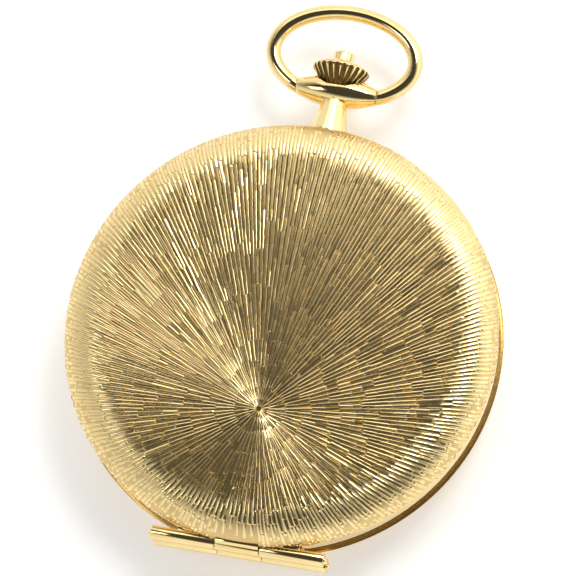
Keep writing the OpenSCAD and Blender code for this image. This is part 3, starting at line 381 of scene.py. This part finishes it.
def stripedMetal(name, tone):
    form = stripeForm
    finish = newFinish(name)
    sockets = {"Vector": finish.place(), "Scale": (1 / mm,) * 3}
    sockets["Rotation"] = (0, 0, math.radians(form["turn"]))
    x, y, z = finish.split(finish.add("ShaderNodeMapping", {}, sockets))
    halfPitch = form["pitch"] / 2
    swell = finish.reckon("PINGPONG", x, halfPitch) / halfPitch
    grain = finish.noise(finish.join(x * form["grain"][0], y * form["grain"][1], z * form["grain"][2]), 1.0)
    lighter = tuple(min(1.0, part * form["lighter"]) for part in tone)
    relief = swell * form["swellShare"] + grain * form["grainShare"]
    base = finish.blend(relief, tone, lighter)
    roughness = grain * form["roughGrain"] + form["rough"]
    normal = finish.bump(relief, form["rise"])
    return finish.principled(Base_Color=base, Metallic=1.0, Roughness=roughness, Normal=normal)


sunrayForm = {
    "fineness": 60,  # of the rays round the centre
    "drift": (0.01, 0.9),  # how fast they change with the square of the radius, and with the height
    "darker": 0.82,
    "rough": 0.18,
    "roughRays": 0.15,
    "rise": 0.008,
}


# Rays brushed out from a wheel's own centre
def sunrayMetal(name, tone, centre):
    form = sunrayForm
    finish = newFinish(name)
    x, y, z = finish.millimetres(centre)
    angle = finish.reckon("ARCTAN2", y, x)
    outDrift, upDrift = form["drift"]
    spot = finish.join(angle * form["fineness"], (x * x + y * y) * outDrift, z * upDrift)
    rays = finish.noise(spot, 1.0)
    base = finish.blend(rays, tone, tuple(part * form["darker"] for part in tone))
    roughness = rays * form["roughRays"] + form["rough"]
    normal = finish.bump(rays, form["rise"])
    return finish.principled(Base_Color=base, Metallic=1.0, Roughness=roughness, Normal=normal)


enamelForm = {
    "cloudScale": 180.0,
    "speckScale": 5200.0,
    "rough": 0.16,
    "roughSpeck": 0.1,
    "cloudRise": 0.8,
    "speckRise": 0.2,
    "rise": 0.01,
    "coat": 0.5,
}


def enamel(name, tone, shade):
    form = enamelForm
    finish = newFinish(name)
    place = finish.place()
    cloud = finish.noise(place, form["cloudScale"])
    speck = finish.noise(place, form["speckScale"], 2.0)
    base = finish.blend(cloud, tone, shade)
    roughness = speck * form["roughSpeck"] + form["rough"]
    normal = finish.bump(cloud * form["cloudRise"] + speck * form["speckRise"], form["rise"])
    return finish.principled(Base_Color=base, Roughness=roughness, Normal=normal, Coat_Weight=form["coat"])


jewelForm = {"cloudScale": 1800.0, "rough": 0.04, "roughCloud": 0.06, "coat": 1.0}


def jewelStone(name, tone, deep):
    form = jewelForm
    finish = newFinish(name)
    cloud = finish.noise(finish.place(), form["cloudScale"], 2.0)
    base = finish.blend(cloud, tone, deep)
    roughness = cloud * form["roughCloud"] + form["rough"]
    return finish.principled(Base_Color=base, Roughness=roughness, Coat_Weight=form["coat"])


glassForm = {"filmScale": 420.0, "index": 1.48, "film": 0.2, "clear": 0.85, "rough": 0.02}


# A see-through shader under a gloss that grows with the slant, and a faint uneven film
def clearGlass(name, tint):
    form = glassForm
    finish = newFinish(name)
    film = finish.noise(finish.place(), form["filmScale"], 2.0)
    glow = finish.add("ShaderNodeFresnel", {}, {"IOR": form["index"]})
    through = finish.add("ShaderNodeBsdfTransparent", {}, {"Color": (*tint, 1)})
    gloss = finish.add("ShaderNodeBsdfGlossy", {}, {"Color": (1, 1, 1, 1), "Roughness": form["rough"]})
    factor = glow * (film * form["film"] + form["clear"])
    return finish.show(finish.add("ShaderNodeMixShader", {}, {0: factor, 1: through, 2: gloss}))


cutFocus = {"front": (-0.16, -8.95), "back": (-0.16, -8.95)}
steelTone = (0.62, 0.62, 0.63)
bright, warm = goldTone["bright"], goldTone["warm"]
gold = polishedMetal("polishedGold", bright, warm, rough=0.09, roughRange=0.06)
innerGold = polishedMetal("innerGold", bright, warm, rough=0.2, roughRange=0.12, wave=0.01)
frontCutGold = cutMetal("frontCutGold", cutFocus["front"], bright, warm)
backCutGold = cutMetal("backCutGold", cutFocus["back"], bright, warm)
# The shell between the cuts is painted dark as shade, turning into the rim's own colour at the edge
grooveShadeGold = grooveMetal("grooveShadeGold", goldTone["grooveDeepShade"], goldTone["groove"], goldTone["rim"])
steel = polishedMetal("polishedSteel", steelTone, (0.55, 0.55, 0.57), rough=0.16)
bluedSteel = polishedMetal("bluedSteel", (0.035, 0.075, 0.33), (0.05, 0.06, 0.24), rough=0.14)
stripedNickel = stripedMetal("stripedNickel", (0.74, 0.71, 0.66))
frostedNickel = grooveMetal("frostedNickel", (0.66, 0.63, 0.57), (0.76, 0.73, 0.67))
giltBrass = polishedMetal("giltBrass", (0.88, 0.68, 0.30), (0.80, 0.58, 0.24), rough=0.24, roughRange=0.16)
ruby = jewelStone("ruby", (0.62, 0.02, 0.09), (0.36, 0.004, 0.04))
dialEnamel = enamel("dialEnamel", (0.86, 0.84, 0.78), (0.80, 0.77, 0.70))
crystalGlass = clearGlass("crystalGlass", (0.97, 0.98, 0.98))
print("watch: materials made")


# Covers: a shallow dome whose edge rolls down to the band, all in millimetres

middleLevel = 5.0  # height of the pendant's and crown's axis
coverForm = {
    "domeRadius": 303.0,
    "edgeStart": 18.9,
    "edgeEnd": 22.989,
    "edgeFull": 0.9957,  # how far round its quarter the rolled edge goes
    "wall": 0.42,
    "sink": 0.125,  # the shell lies this deep under the tops of the cuts
    "rimHeight": 0.35,  # share of that depth that is left at the rim
    "fadeAhead": 0.5,
    "fadeLength": 2.0,
    "steps": 168,
    "smooth": 35,
    "flatRings": 8,
    "edgeRings": 20,
    "linePoints": 400,  # of the dome, and again of its edge
    "lineStep": 0.05,
}
coverSides = {
    "front": {"apex": 10.0, "foot": 6.95, "flat": 10.0, "up": 1},
    "back": {"apex": -0.3236, "foot": 3.05, "flat": 0.0, "up": -1},
}
edgeWidth = (coverForm["edgeEnd"] - coverForm["edgeStart"]) / coverForm["edgeFull"]


def domeSag(radius):
    return coverForm["domeRadius"] - math.sqrt(coverForm["domeRadius"] ** 2 - radius ** 2)


# Depth of the cover's surface under its apex at a radius
def coverDrop(radius, side):
    form = coverForm
    if radius <= form["edgeStart"]:
        return domeSag(radius)
    wanted = abs(side["foot"] - side["apex"]) - domeSag(form["edgeEnd"])
    height = wanted / (1 - math.sqrt(1 - form["edgeFull"] ** 2))
    share = min((radius - form["edgeStart"]) / edgeWidth, 1.0)
    return domeSag(radius) + height * (1 - math.sqrt(1 - share ** 2))


def coverHeight(radius, side):
    level = side["apex"] - side["up"] * coverDrop(radius, side)
    return min(level, side["flat"]) if side["up"] > 0 else max(level, side["flat"])


# The outline in even steps of its own length, with the direction that faces out
class CoverLine:
    def __init__(self, side):
        form = coverForm
        count = form["linePoints"]
        turnEnd = math.asin(form["edgeFull"])
        radii = [form["edgeStart"] * index / count for index in range(count)]
        for index in range(count + 1):
            radii.append(form["edgeStart"] + edgeWidth * math.sin(turnEnd * index / count))
        line = [Vector((radius, coverHeight(radius, side))) for radius in radii]
        self.step = form["lineStep"]
        self.points = [line[0]]
        gone = 0.0
        for start, end in zip(line, line[1:]):
            length = (end - start).length
            while gone + length >= self.step * len(self.points):
                share = (self.step * len(self.points) - gone) / length
                self.points.append(start.lerp(end, share))
            gone += length
        self.length = self.step * (len(self.points) - 1)
        self.up = side["up"]

    def at(self, length, height=0.0):
        index = min(max(length / self.step, 0.0), len(self.points) - 1.001)  # stays on the last stretch
        low = int(index)
        start, end = self.points[low], self.points[low + 1]
        along = (end - start).normalized()
        out = Vector((-along.y, along.x)) * self.up
        return start.lerp(end, index - low) + out * height


coverLines = {name: CoverLine(side) for name, side in coverSides.items()}

thumbForm = {  # the polished crescent on the rim, between two angles in degrees
    "start": 33.0,
    "end": 67.0,
    "depth": 1.5,
    "fullness": 0.7,  # under 1 gives blunter ends
    "least": 0.3,  # the shell shows polished where the crescent is deeper than this
    "from": 21.9,  # and further out than this
}


def thumbDepth(angle):
    form = thumbForm
    share = (math.degrees(angle) % 360 - form["start"]) / (form["end"] - form["start"])
    return form["depth"] * math.sin(math.pi * share) ** form["fullness"] if 0 < share < 1 else 0.0


# Share of the cuts' height that is left at a length along the outline: less over the rolled edge
def reliefShare(length):
    form = coverForm
    share = min(max((length - form["edgeStart"] + form["fadeAhead"]) / form["fadeLength"], 0.0), 1.0)
    return 1 - share * (1 - form["rimHeight"])


def coverShell(name, sideName):
    form, side, line = coverForm, coverSides[sideName], coverLines[sideName]
    flats, rings = form["flatRings"], form["edgeRings"]
    lengths = [index / flats * form["edgeStart"] for index in range(flats + 1)]
    rolled = line.length - form["edgeStart"]
    lengths += [form["edgeStart"] + rolled * index / rings for index in range(1, rings + 1)]
    outer = [line.at(length, -form["sink"] * reliefShare(length)) for length in lengths]
    inner = [line.at(length, -form["sink"] - form["wall"]) for length in lengths]
    outer[0].x = inner[0].x = 0.0
    for rim in (outer[-1], inner[-1]):
        rim.y = side["foot"]
    profile = [(point.x, 0, point.y) for point in outer + inner[::-1]]
    shell = turned(name, profile, form["steps"])
    for material in (gold, grooveShadeGold, innerGold):
        shell.data.materials.append(material)
    for face in shell.data.polygons:
        centre = Vector((face.center.x, face.center.y, 0))
        radial = face.normal.dot(centre.normalized()) if centre.length else 0.0
        facesOut = face.normal.z * side["up"] > 0.01 or radial > 0.5
        onThumb = thumbDepth(math.atan2(centre.y, centre.x)) > thumbForm["least"]
        onThumb = onThumb and centre.length > thumbForm["from"] * mm
        face.material_index = (0 if onThumb else 1) if facesOut else 2
    return shell


knuckleForm = {
    "radius": 0.74,
    "length": 4.68,
    "reach": 23.0,  # from the middle of the case to the hinge's axis
    "level": 0.8,  # from the rim to the axis
    "soften": 0.012,
    "webSize": (4.66, 0.94, 1.3),
    "webReach": 22.98,
    "webLevel": 0.62,  # from the axis to the middle of the web
    "webUpper": 0.9,  # what is further from the axis than this slants in to the rim
    "webSlant": 0.42,
    "webSoften": 0.08,
}


# Round part of the hinge that belongs to a cover, with the web that ties it to the rim
def coverKnuckle(sideName):
    form, side = knuckleForm, coverSides[sideName]
    level = side["foot"] - side["up"] * form["level"]
    deselectAll()
    bpy.ops.mesh.primitive_cylinder_add(vertices=48, radius=form["radius"] * mm, depth=form["length"] * mm,
                                        location=(0, -form["reach"] * mm, level * mm),
                                        rotation=(0, math.pi / 2, 0))
    barrel = bpy.context.object
    settle(barrel)
    softenEdges(barrel, form["soften"])
    deselectAll()
    webLevel = level + side["up"] * form["webLevel"]
    bpy.ops.mesh.primitive_cube_add(size=mm, location=(0, -form["webReach"] * mm, webLevel * mm),
                                    scale=form["webSize"])
    web = bpy.context.object
    settle(web)
    editMode(web)

    def outerUpper(co):
        return (co.z - level * mm) * side["up"] > form["webUpper"] * mm and co.y < -form["reach"] * mm

    movePicked(web, outerUpper, (0, form["webSlant"] * mm, 0))
    objectMode()
    softenEdges(web, form["webSoften"])
    return [barrel, web]


notchForm = {"radius": 2.5, "length": 8.0, "reach": 23.0}


# Room in the rim for the pendant's neck
def neckNotch(cover):
    form = notchForm
    deselectAll()
    bpy.ops.mesh.primitive_cylinder_add(vertices=64, radius=form["radius"] * mm, depth=form["length"] * mm,
                                        location=(0, form["reach"] * mm, middleLevel * mm),
                                        rotation=(math.pi / 2, 0, 0))
    cutter = bpy.context.object
    settle(cutter)
    applyModifier(cover, "BOOLEAN", operation="DIFFERENCE", object=cutter, solver="EXACT")
    bpy.data.objects.remove(cutter)


catchForm = {"size": (3.8, 0.7, 0.62), "reach": 22.3, "level": 7.28, "soften": 0.08}


# The lip on the front cover that the catch takes hold of
def catchLip():
    form = catchForm
    deselectAll()
    bpy.ops.mesh.primitive_cube_add(size=mm, location=(0, form["reach"] * mm, form["level"] * mm),
                                    scale=form["size"])
    lip = bpy.context.object
    settle(lip)
    softenEdges(lip, form["soften"])
    neckNotch(lip)
    return lip


# Chisel cuts: one ridge, shaped and laid all over the cover

ridgeForm = {  # on a square of side 1, with the ridge along Y
    "outerRows": 1.38,  # the rows of points move towards the two ends
    "innerRows": 2.4,
    "shoulders": 1.4,
    "flankHeight": 0.7,
    "crestHeight": 0.3,  # over the flanks
    "footDepth": 0.3,
    "endWidth": 0.7,
    "nearEndWidth": 0.9,
}
cutForm = {
    "starts": [0.25, 1.0, 2.5, 5.0, 7.8, 12.0, 18.3, 27.6, 38.0],  # reach at which the lanes split
    "lanes": [16, 32, 64, 96, 144, 216, 324, 486],  # how many go round from each start to the next
    "splitSpread": (0.88, 1.13),
    "length": 2.4,
    "lengthSpread": (0.8, 1.2),
    "firstLength": (0.5, 0.7),
    "shortest": 0.8,  # a shorter rest of a lane joins its last cut
    "gap": 0.2,  # and a rest under this stays bare
    "overlap": 1.05,
    "turnSpread": 0.05,
    "fill": 0.98,  # share of its lane that a ridge fills
    "height": 0.125,
    "heightSpread": (0.82, 1.0),
    "fullWidth": 0.22,  # a narrower ridge is lower
    "inside": 0.002,  # every point stays this far inside the cover's outline
    "margin": {"front": 0.25, "back": 3.4},  # from the end of the outline to the last cuts
    "rimSpare": 0.3,  # a cut that would start this near the margin is left out
    "overhang": 0.23,  # how far the last cuts go past the margin
    "leastReach": 0.3,
    "skew": 0.015,
    "lean": 0.02,
    "neckClear": 2.55,
    "hingeClear": (2.4, 22.75),  # half width, and reach from the middle of the case
    "leastSize": 0.25,  # a smaller cut is left out
    "seed": {"front": 11, "back": 23},
    "smooth": 38,
}


def makeRidge():
    form = ridgeForm
    deselectAll()
    bpy.ops.mesh.primitive_grid_add(x_subdivisions=4, y_subdivisions=6, size=1)
    ridge = bpy.context.object
    ridge.name = "ridge"
    editMode(ridge)
    resizePicked(ridge, lambda co: 0.3 < abs(co.y) < 0.4, (1, form["outerRows"], 1))
    resizePicked(ridge, lambda co: 0.1 < abs(co.y) < 0.2, (1, form["innerRows"], 1))
    resizePicked(ridge, lambda co: abs(abs(co.x) - 0.25) < 0.01, (form["shoulders"], 1, 1))
    movePicked(ridge, lambda co: abs(co.x) < 0.4 and abs(co.y) < 0.48, (0, 0, form["flankHeight"]))
    movePicked(ridge, lambda co: abs(co.x) < 0.1 and abs(co.y) < 0.48, (0, 0, form["crestHeight"]))
    movePicked(ridge, lambda co: abs(co.x) > 0.45 or abs(co.y) > 0.48, (0, 0, -form["footDepth"]))
    resizePicked(ridge, lambda co: abs(co.y) > 0.48, (form["endWidth"], 1, 1))
    resizePicked(ridge, lambda co: 0.44 < abs(co.y) < 0.48, (form["nearEndWidth"], 1, 1))
    bpy.ops.mesh.select_all(action="DESELECT")
    bpy.ops.mesh.select_mode(type="EDGE")
    bpy.ops.mesh.select_non_manifold()
    bpy.ops.mesh.edge_face_add()
    bpy.ops.mesh.select_all(action="SELECT")
    bpy.ops.mesh.normals_make_consistent(inside=False)
    objectMode()
    return ridge


# Where each ridge lies: its reach from the focus, direction, width and length. Each group of lanes
# splits at a reach of its own, so that no circle shows between two levels
def layCuts(chance):
    form = cutForm
    starts, counts = form["starts"], form["lanes"]
    borders = [[starts[0]] * counts[0]]
    for end, lanes, nextLanes in zip(starts[1:], counts, counts[1:] + counts[-1:]):
        groups = lanes if nextLanes >= 2 * lanes else lanes // 2
        borders.append([end * chance.uniform(*form["splitSpread"]) for group in range(groups)])
    places = []
    for lanes, near, far in zip(counts, borders, borders[1:]):
        for lane in range(lanes):
            jitter = chance.uniform(-form["turnSpread"], form["turnSpread"])
            angle = (lane + 0.5 + jitter) * fullTurn / lanes
            reach = near[lane * len(near) // lanes]
            last = far[lane * len(far) // lanes]
            length = form["length"] * chance.uniform(*form["firstLength"]) * (1 + lane % 2)
            while last - reach > form["gap"]:
                if last - reach - length < form["shortest"]:
                    length = last - reach
                middle = reach + length / 2
                width = fullTurn * middle / lanes * form["fill"]
                places.append((middle, angle, width, length * form["overlap"]))
                reach += length
                length = form["length"] * chance.uniform(*form["lengthSpread"])
    return places


# The neck and the hinge keep a little room round them
def inTheWay(spot):
    atNeck = math.hypot(spot.x, spot.z - middleLevel) < cutForm["neckClear"] and spot.y > 0
    halfWidth, reach = cutForm["hingeClear"]
    return atNeck or (abs(spot.x) < halfWidth and spot.y < -reach)


def coverCuts(name, sideName, material):
    form, line, side = cutForm, coverLines[sideName], coverSides[sideName]
    chance = random.Random(form["seed"][sideName])
    focus = Vector(cutFocus[sideName])
    reachEnd = line.length - form["margin"][sideName]
    ridge = makeRidge()
    base = [vertex.co.copy() for vertex in ridge.data.vertices]
    # 1 at the ridge's foot, which the material darkens as painted shade
    footShades = [float(point.z < 0) for point in base]
    copies = []
    for reach, angle, width, length in layCuts(chance):
        along = Vector((math.cos(angle), math.sin(angle)))
        across = Vector((-along.y, along.x))
        middle = focus + along * reach
        if (middle - along * length / 2).length > reachEnd - form["rimSpare"]:
            continue
        skew = chance.gauss(0, form["skew"])
        lean = chance.gauss(0, form["lean"])
        lift = chance.uniform(*form["heightSpread"]) * min(1.0, width / form["fullWidth"])
        tone = chance.random()
        placed = []
        for point in base:
            spread = width * (1 + point.y * length / max(reach, form["leastReach"]))
            sideways = point.x * spread + skew * point.y * length
            flat = middle + along * (point.y * length) + across * sideways
            far = flat.length
            edge = reachEnd + form["overhang"] - thumbDepth(math.atan2(flat.y, flat.x))
            if far > edge:
                flat = flat * (edge / far)
                far = edge
            rise = (point.z * lift - 1) * form["height"] * reliefShare(far) + lean * point.x
            spot = line.at(far, min(rise, -form["inside"]))
            outward = flat / far if far > 0 else Vector((1, 0))
            placed.append(Vector((outward.x * spot.x, outward.y * spot.x, spot.y)))
        if any(inTheWay(spot) for spot in placed) or (placed[-1] - placed[0]).length < form["leastSize"]:
            continue
        mesh = ridge.data.copy()
        mesh.vertices.foreach_set("co", [part * mm for spot in placed for part in spot])
        for attribute, values in (("tone", [tone] * len(placed)), ("depth", footShades)):
            mesh.attributes.new(attribute, "FLOAT", "POINT").data.foreach_set("value", values)
        if side["up"] < 0:
            mesh.flip_normals()
        copy = bpy.data.objects.new("cut", mesh)
        scene.collection.objects.link(copy)
        copies.append(copy)
    bpy.data.objects.remove(ridge)
    cuts = joinPieces(name, copies)
    cuts.data.materials.clear()
    cuts.data.materials.append(material)
    smooth(cuts, form["smooth"])
    print("watch:", name, len(copies), "cuts,", len(cuts.data.polygons), "faces")
    return cuts


def makeCover(sideName, body, material):
    shell = coverShell(sideName + "Cover", sideName)
    neckNotch(shell)
    fittings = coverKnuckle(sideName)
    if sideName == "front":
        fittings.append(catchLip())
    for part in fittings:
        part.data.materials.clear()
        part.data.materials.append(gold)
    cover = joinPieces(sideName + "Cover", [shell] + fittings)
    smooth(cover, coverForm["smooth"])
    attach(cover, body)
    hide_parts(body)
    cuts = coverCuts(sideName + "Cuts", sideName, material)
    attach(cuts, body)


makeCover("front", "front_lid", frontCutGold)
makeCover("back", "back_cover", backCutGold)
print("watch: covers made")


# CAD nodes that keep their shape: a merged copy with softened edges and its finish

dressForm = {"merge": 0.0005, "flatten": 0.4, "smooth": 30}  # the last two in degrees


def camelName(node):
    first, *rest = node.split("_")
    return first + "".join(word.title() for word in rest)


def dress(node, material, bevel=0.0):
    source = frame["nodes"][node]
    piece = bpy.data.objects.new(camelName(node), source.data.copy())
    scene.collection.objects.link(piece)
    piece.data.materials.clear()
    piece.data.materials.append(material)
    editMode(piece)
    bpy.ops.mesh.select_all(action="SELECT")
    bpy.ops.mesh.remove_doubles(threshold=dressForm["merge"] * mm)
    if bevel:
        bpy.ops.mesh.dissolve_limited(angle_limit=math.radians(dressForm["flatten"]))
    objectMode()
    for face in piece.data.polygons:
        face.material_index = 0
    if bevel:
        softenEdges(piece, bevel, dressForm["smooth"])
    smooth(piece, dressForm["smooth"])
    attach(piece, source["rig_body"])
    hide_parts(node)
    return piece


dressing = [  # finish, slot of the record, width of the softened edges, nodes
    (gold, "gold", 0.05, ["case_band", "pendant", "bow", "lid_pusher"]),
    (gold, "gold", 0.04, ["bezel", "front_hinge_pin", "back_hinge_pin", "hour_markers"]),
    (steel, "steel", 0.0, ["winding_stem", "lid_catch", "lift_spring", "click_spring", "click", "yoke",
                           "setting_lever", "winding_pinion", "sliding_pinion", "balance_staff",
                           "pallet_fork", "escape_wheel", "regulator", "mainspring", "barrel_arbor",
                           "crown_wheel_core", "cannon_pinion"]),
    (bluedSteel, "blued", 0.0, ["lid_catch_screw", "lift_spring_screw", "case_screws", "bridge_screws",
                                "hairspring", "minute_hand", "hour_hand", "seconds_hand"]),
    (stripedNickel, "nickel", 0.06, ["barrel_bridge", "train_bridge", "balance_cock", "pallet_bridge"]),
    (frostedNickel, "nickel", 0.05, ["main_plate"]),
    (giltBrass, "gilt", 0.0, ["barrel", "centre_wheel", "third_wheel", "fourth_wheel", "balance_wheel",
                              "minute_wheel", "setting_wheel", "hour_wheel"]),
    (ruby, "ruby", 0.0, ["jewels"]),
    (dialEnamel, "dial", 0.03, ["dial"]),
    (crystalGlass, "crystal", 0.0, ["crystal"]),
]
for material, slot, bevel, nodes in dressing:
    for node in nodes:
        dress(node, material, bevel)

crownForm = {
    "start": 28.05,  # where the fluted side starts along Y
    "end": 30.1,
    "footRadius": 1.75,
    "slope": 0.731,
    "radius": 3.0,
    "deeper": 0.1,  # a face this far inside the outline belongs to a flute
    "deepest": 0.4,  # and one further in than this to the crown's ends
    "bevel": 0.03,
}
crown = dress("crown", gold, crownForm["bevel"])
# The flutes take the dark groove colours: painted shade in their hollows
crown.data.materials.append(grooveMetal("crownFluteShade", goldTone["grooveDeepShade"], goldTone["groove"]))
for face in crown.data.polygons:
    centre = face.center / mm
    inside = crownForm["footRadius"] + (centre.y - crownForm["start"]) * crownForm["slope"]
    inside = min(inside, crownForm["radius"]) - math.hypot(centre.x, centre.z - middleLevel)
    if centre.y < crownForm["end"] and crownForm["deeper"] < inside < crownForm["deepest"]:
        face.material_index = 1

dress("ratchet_wheel", sunrayMetal("ratchetSteel", steelTone, (-7.27, 4.2)))
dress("crown_wheel", sunrayMetal("crownWheelSteel", steelTone, (0.0, 12.9)))
print("watch: CAD nodes dressed")


# Floor, light and camera

floorForm = {
    "size": 3.0,
    "tone": (0.94, 0.94, 0.935),
    "glow": 0.3,
    "darker": 0.985,
    "cloudScale": 9.0,
    "rough": 0.75,
    "roughCloud": 0.1,
}


# The floor looks whiter, straight or mirrored, than the light it throws on the watch
def paleFloor(name, form):
    finish = newFinish(name)
    cloud = finish.noise(finish.place(), form["cloudScale"])
    base = finish.blend(cloud, form["tone"], tuple(part * form["darker"] for part in form["tone"]))
    rayKinds = ("Is Camera Ray", "Is Glossy Ray", "Is Transmission Ray")
    straight, mirrored, bent = finish.addMany("ShaderNodeLightPath", rayKinds)
    glow = finish.blend(straight + mirrored + bent, (0.0, 0.0, 0.0), (form["glow"],) * 3)
    roughness = cloud * form["roughCloud"] + form["rough"]
    return finish.principled(Base_Color=base, Roughness=roughness, Emission_Color=glow,
                             Emission_Strength=1.0)


deselectAll()
bpy.ops.mesh.primitive_plane_add(size=floorForm["size"], location=(0, 0, 0))
floor = bpy.context.object
floor.name = "floor"
floor.data.materials.append(paleFloor("paleFloor", floorForm))

lightForm = {
    "tent": 1.2,
    "brighter": (0.26, 0.08, 0.0),  # the tent's gain towards the right and the back
    "card": {  # the dark area over and before the watch, where the camera stands
        "towards": (0.09, -0.13, 0.985), "side": (0.945, -0.325, 0.0), "wide": 68, "deep": 40,
        "level": 0.05, "inner": 0.55, "outer": 1.25, "backFade": 0.1,
    },
    "away": 0.7,  # from the watch to each lamp, in metres
    "lamps": {
        "keyLamp": {"towards": (0.27, 0.56, 0.785), "size": (0.28, 0.22), "level": 8.3},
        "backLamp": {"towards": (-0.2, 0.57, 0.795), "size": (0.4, 0.25), "level": 0.95},
        "fillLamp": {"towards": (-0.52, -0.12, 0.85), "size": (0.2, 0.2), "level": 2.8},
    },
}
scene.world = bpy.data.worlds.new("tent")
sky = Finish(scene.world)
direction = sky.add("ShaderNodeTexCoord", output="Generated")


# How far the sky's direction goes along an axis, in the sine of an angle
def skyAlong(axis, degrees=90):
    sockets = {0: direction, 1: axis}
    dot = sky.add("ShaderNodeVectorMath", {"operation": "DOT_PRODUCT"}, sockets, output="Value")
    return dot / math.sin(math.radians(degrees))


card = lightForm["card"]
cardMiddle = Vector(card["towards"]).normalized()
cardSide = Vector(card["side"]).cross(cardMiddle).cross(cardMiddle).normalized()
acrossCard = skyAlong(cardSide, card["wide"])
alongCard = skyAlong(cardMiddle.cross(cardSide), card["deep"])
spread = acrossCard * acrossCard + alongCard * alongCard
behind = sky.mapRange(skyAlong(cardMiddle), 0.0, card["backFade"], 1.0, 0.0)  # keeps the far half bright
share = sky.mapRange(spread + behind * 2, card["inner"], card["outer"], card["level"])
tent = share * (skyAlong(lightForm["brighter"]) + 1) * lightForm["tent"]
shade = sky.add("ShaderNodeBackground", {}, {"Color": (1, 1, 1, 1), "Strength": tent})
sky.show(shade, "ShaderNodeOutputWorld")

for name, form in lightForm["lamps"].items():
    lamp = bpy.data.lights.new(name, "AREA")
    lamp.shape = "RECTANGLE"
    lamp.size, lamp.size_y = form["size"]
    lamp.energy = form["level"] * math.pi * lamp.size * lamp.size_y
    lampPiece = bpy.data.objects.new(name, lamp)
    scene.collection.objects.link(lampPiece)
    towards = Vector(form["towards"]).normalized()
    lampPiece.location = towards * lightForm["away"]
    lampPiece.rotation_euler = towards.to_track_quat("Z", "Y").to_euler()
    lampPiece.visible_camera = False

cameraForm = {
    "azimuth": 36.75,
    "elevation": 71.64,
    "roll": 12.05,
    "distance": 1105.7,
    "lens": 659.5,
    "sensor": 36,
    "target": (-0.54, 5.38, 6.02),
}
cameraData = bpy.data.cameras.new("camera")
cameraData.lens = cameraForm["lens"]
cameraData.sensor_width = cameraForm["sensor"]
cameraData.clip_start = 0.01
camera = bpy.data.objects.new("camera", cameraData)
scene.collection.objects.link(camera)
azimuth, elevation, roll = (math.radians(cameraForm[name]) for name in ("azimuth", "elevation", "roll"))
look = -Vector((math.sin(azimuth) * math.cos(elevation), -math.cos(azimuth) * math.cos(elevation),
                math.sin(elevation)))
place = (Vector(cameraForm["target"]) - look * cameraForm["distance"]) * mm
right = look.cross(Vector((0, 1, 0))).normalized()
up = right.cross(look)
imageRight = right * math.cos(roll) + up * math.sin(roll)
imageUp = up * math.cos(roll) - right * math.sin(roll)
turn = Matrix((imageRight, imageUp, -look)).transposed().to_4x4()
camera.matrix_world = Matrix.Translation(place) @ turn
scene.camera = camera
print("watch: stage, light and camera set")
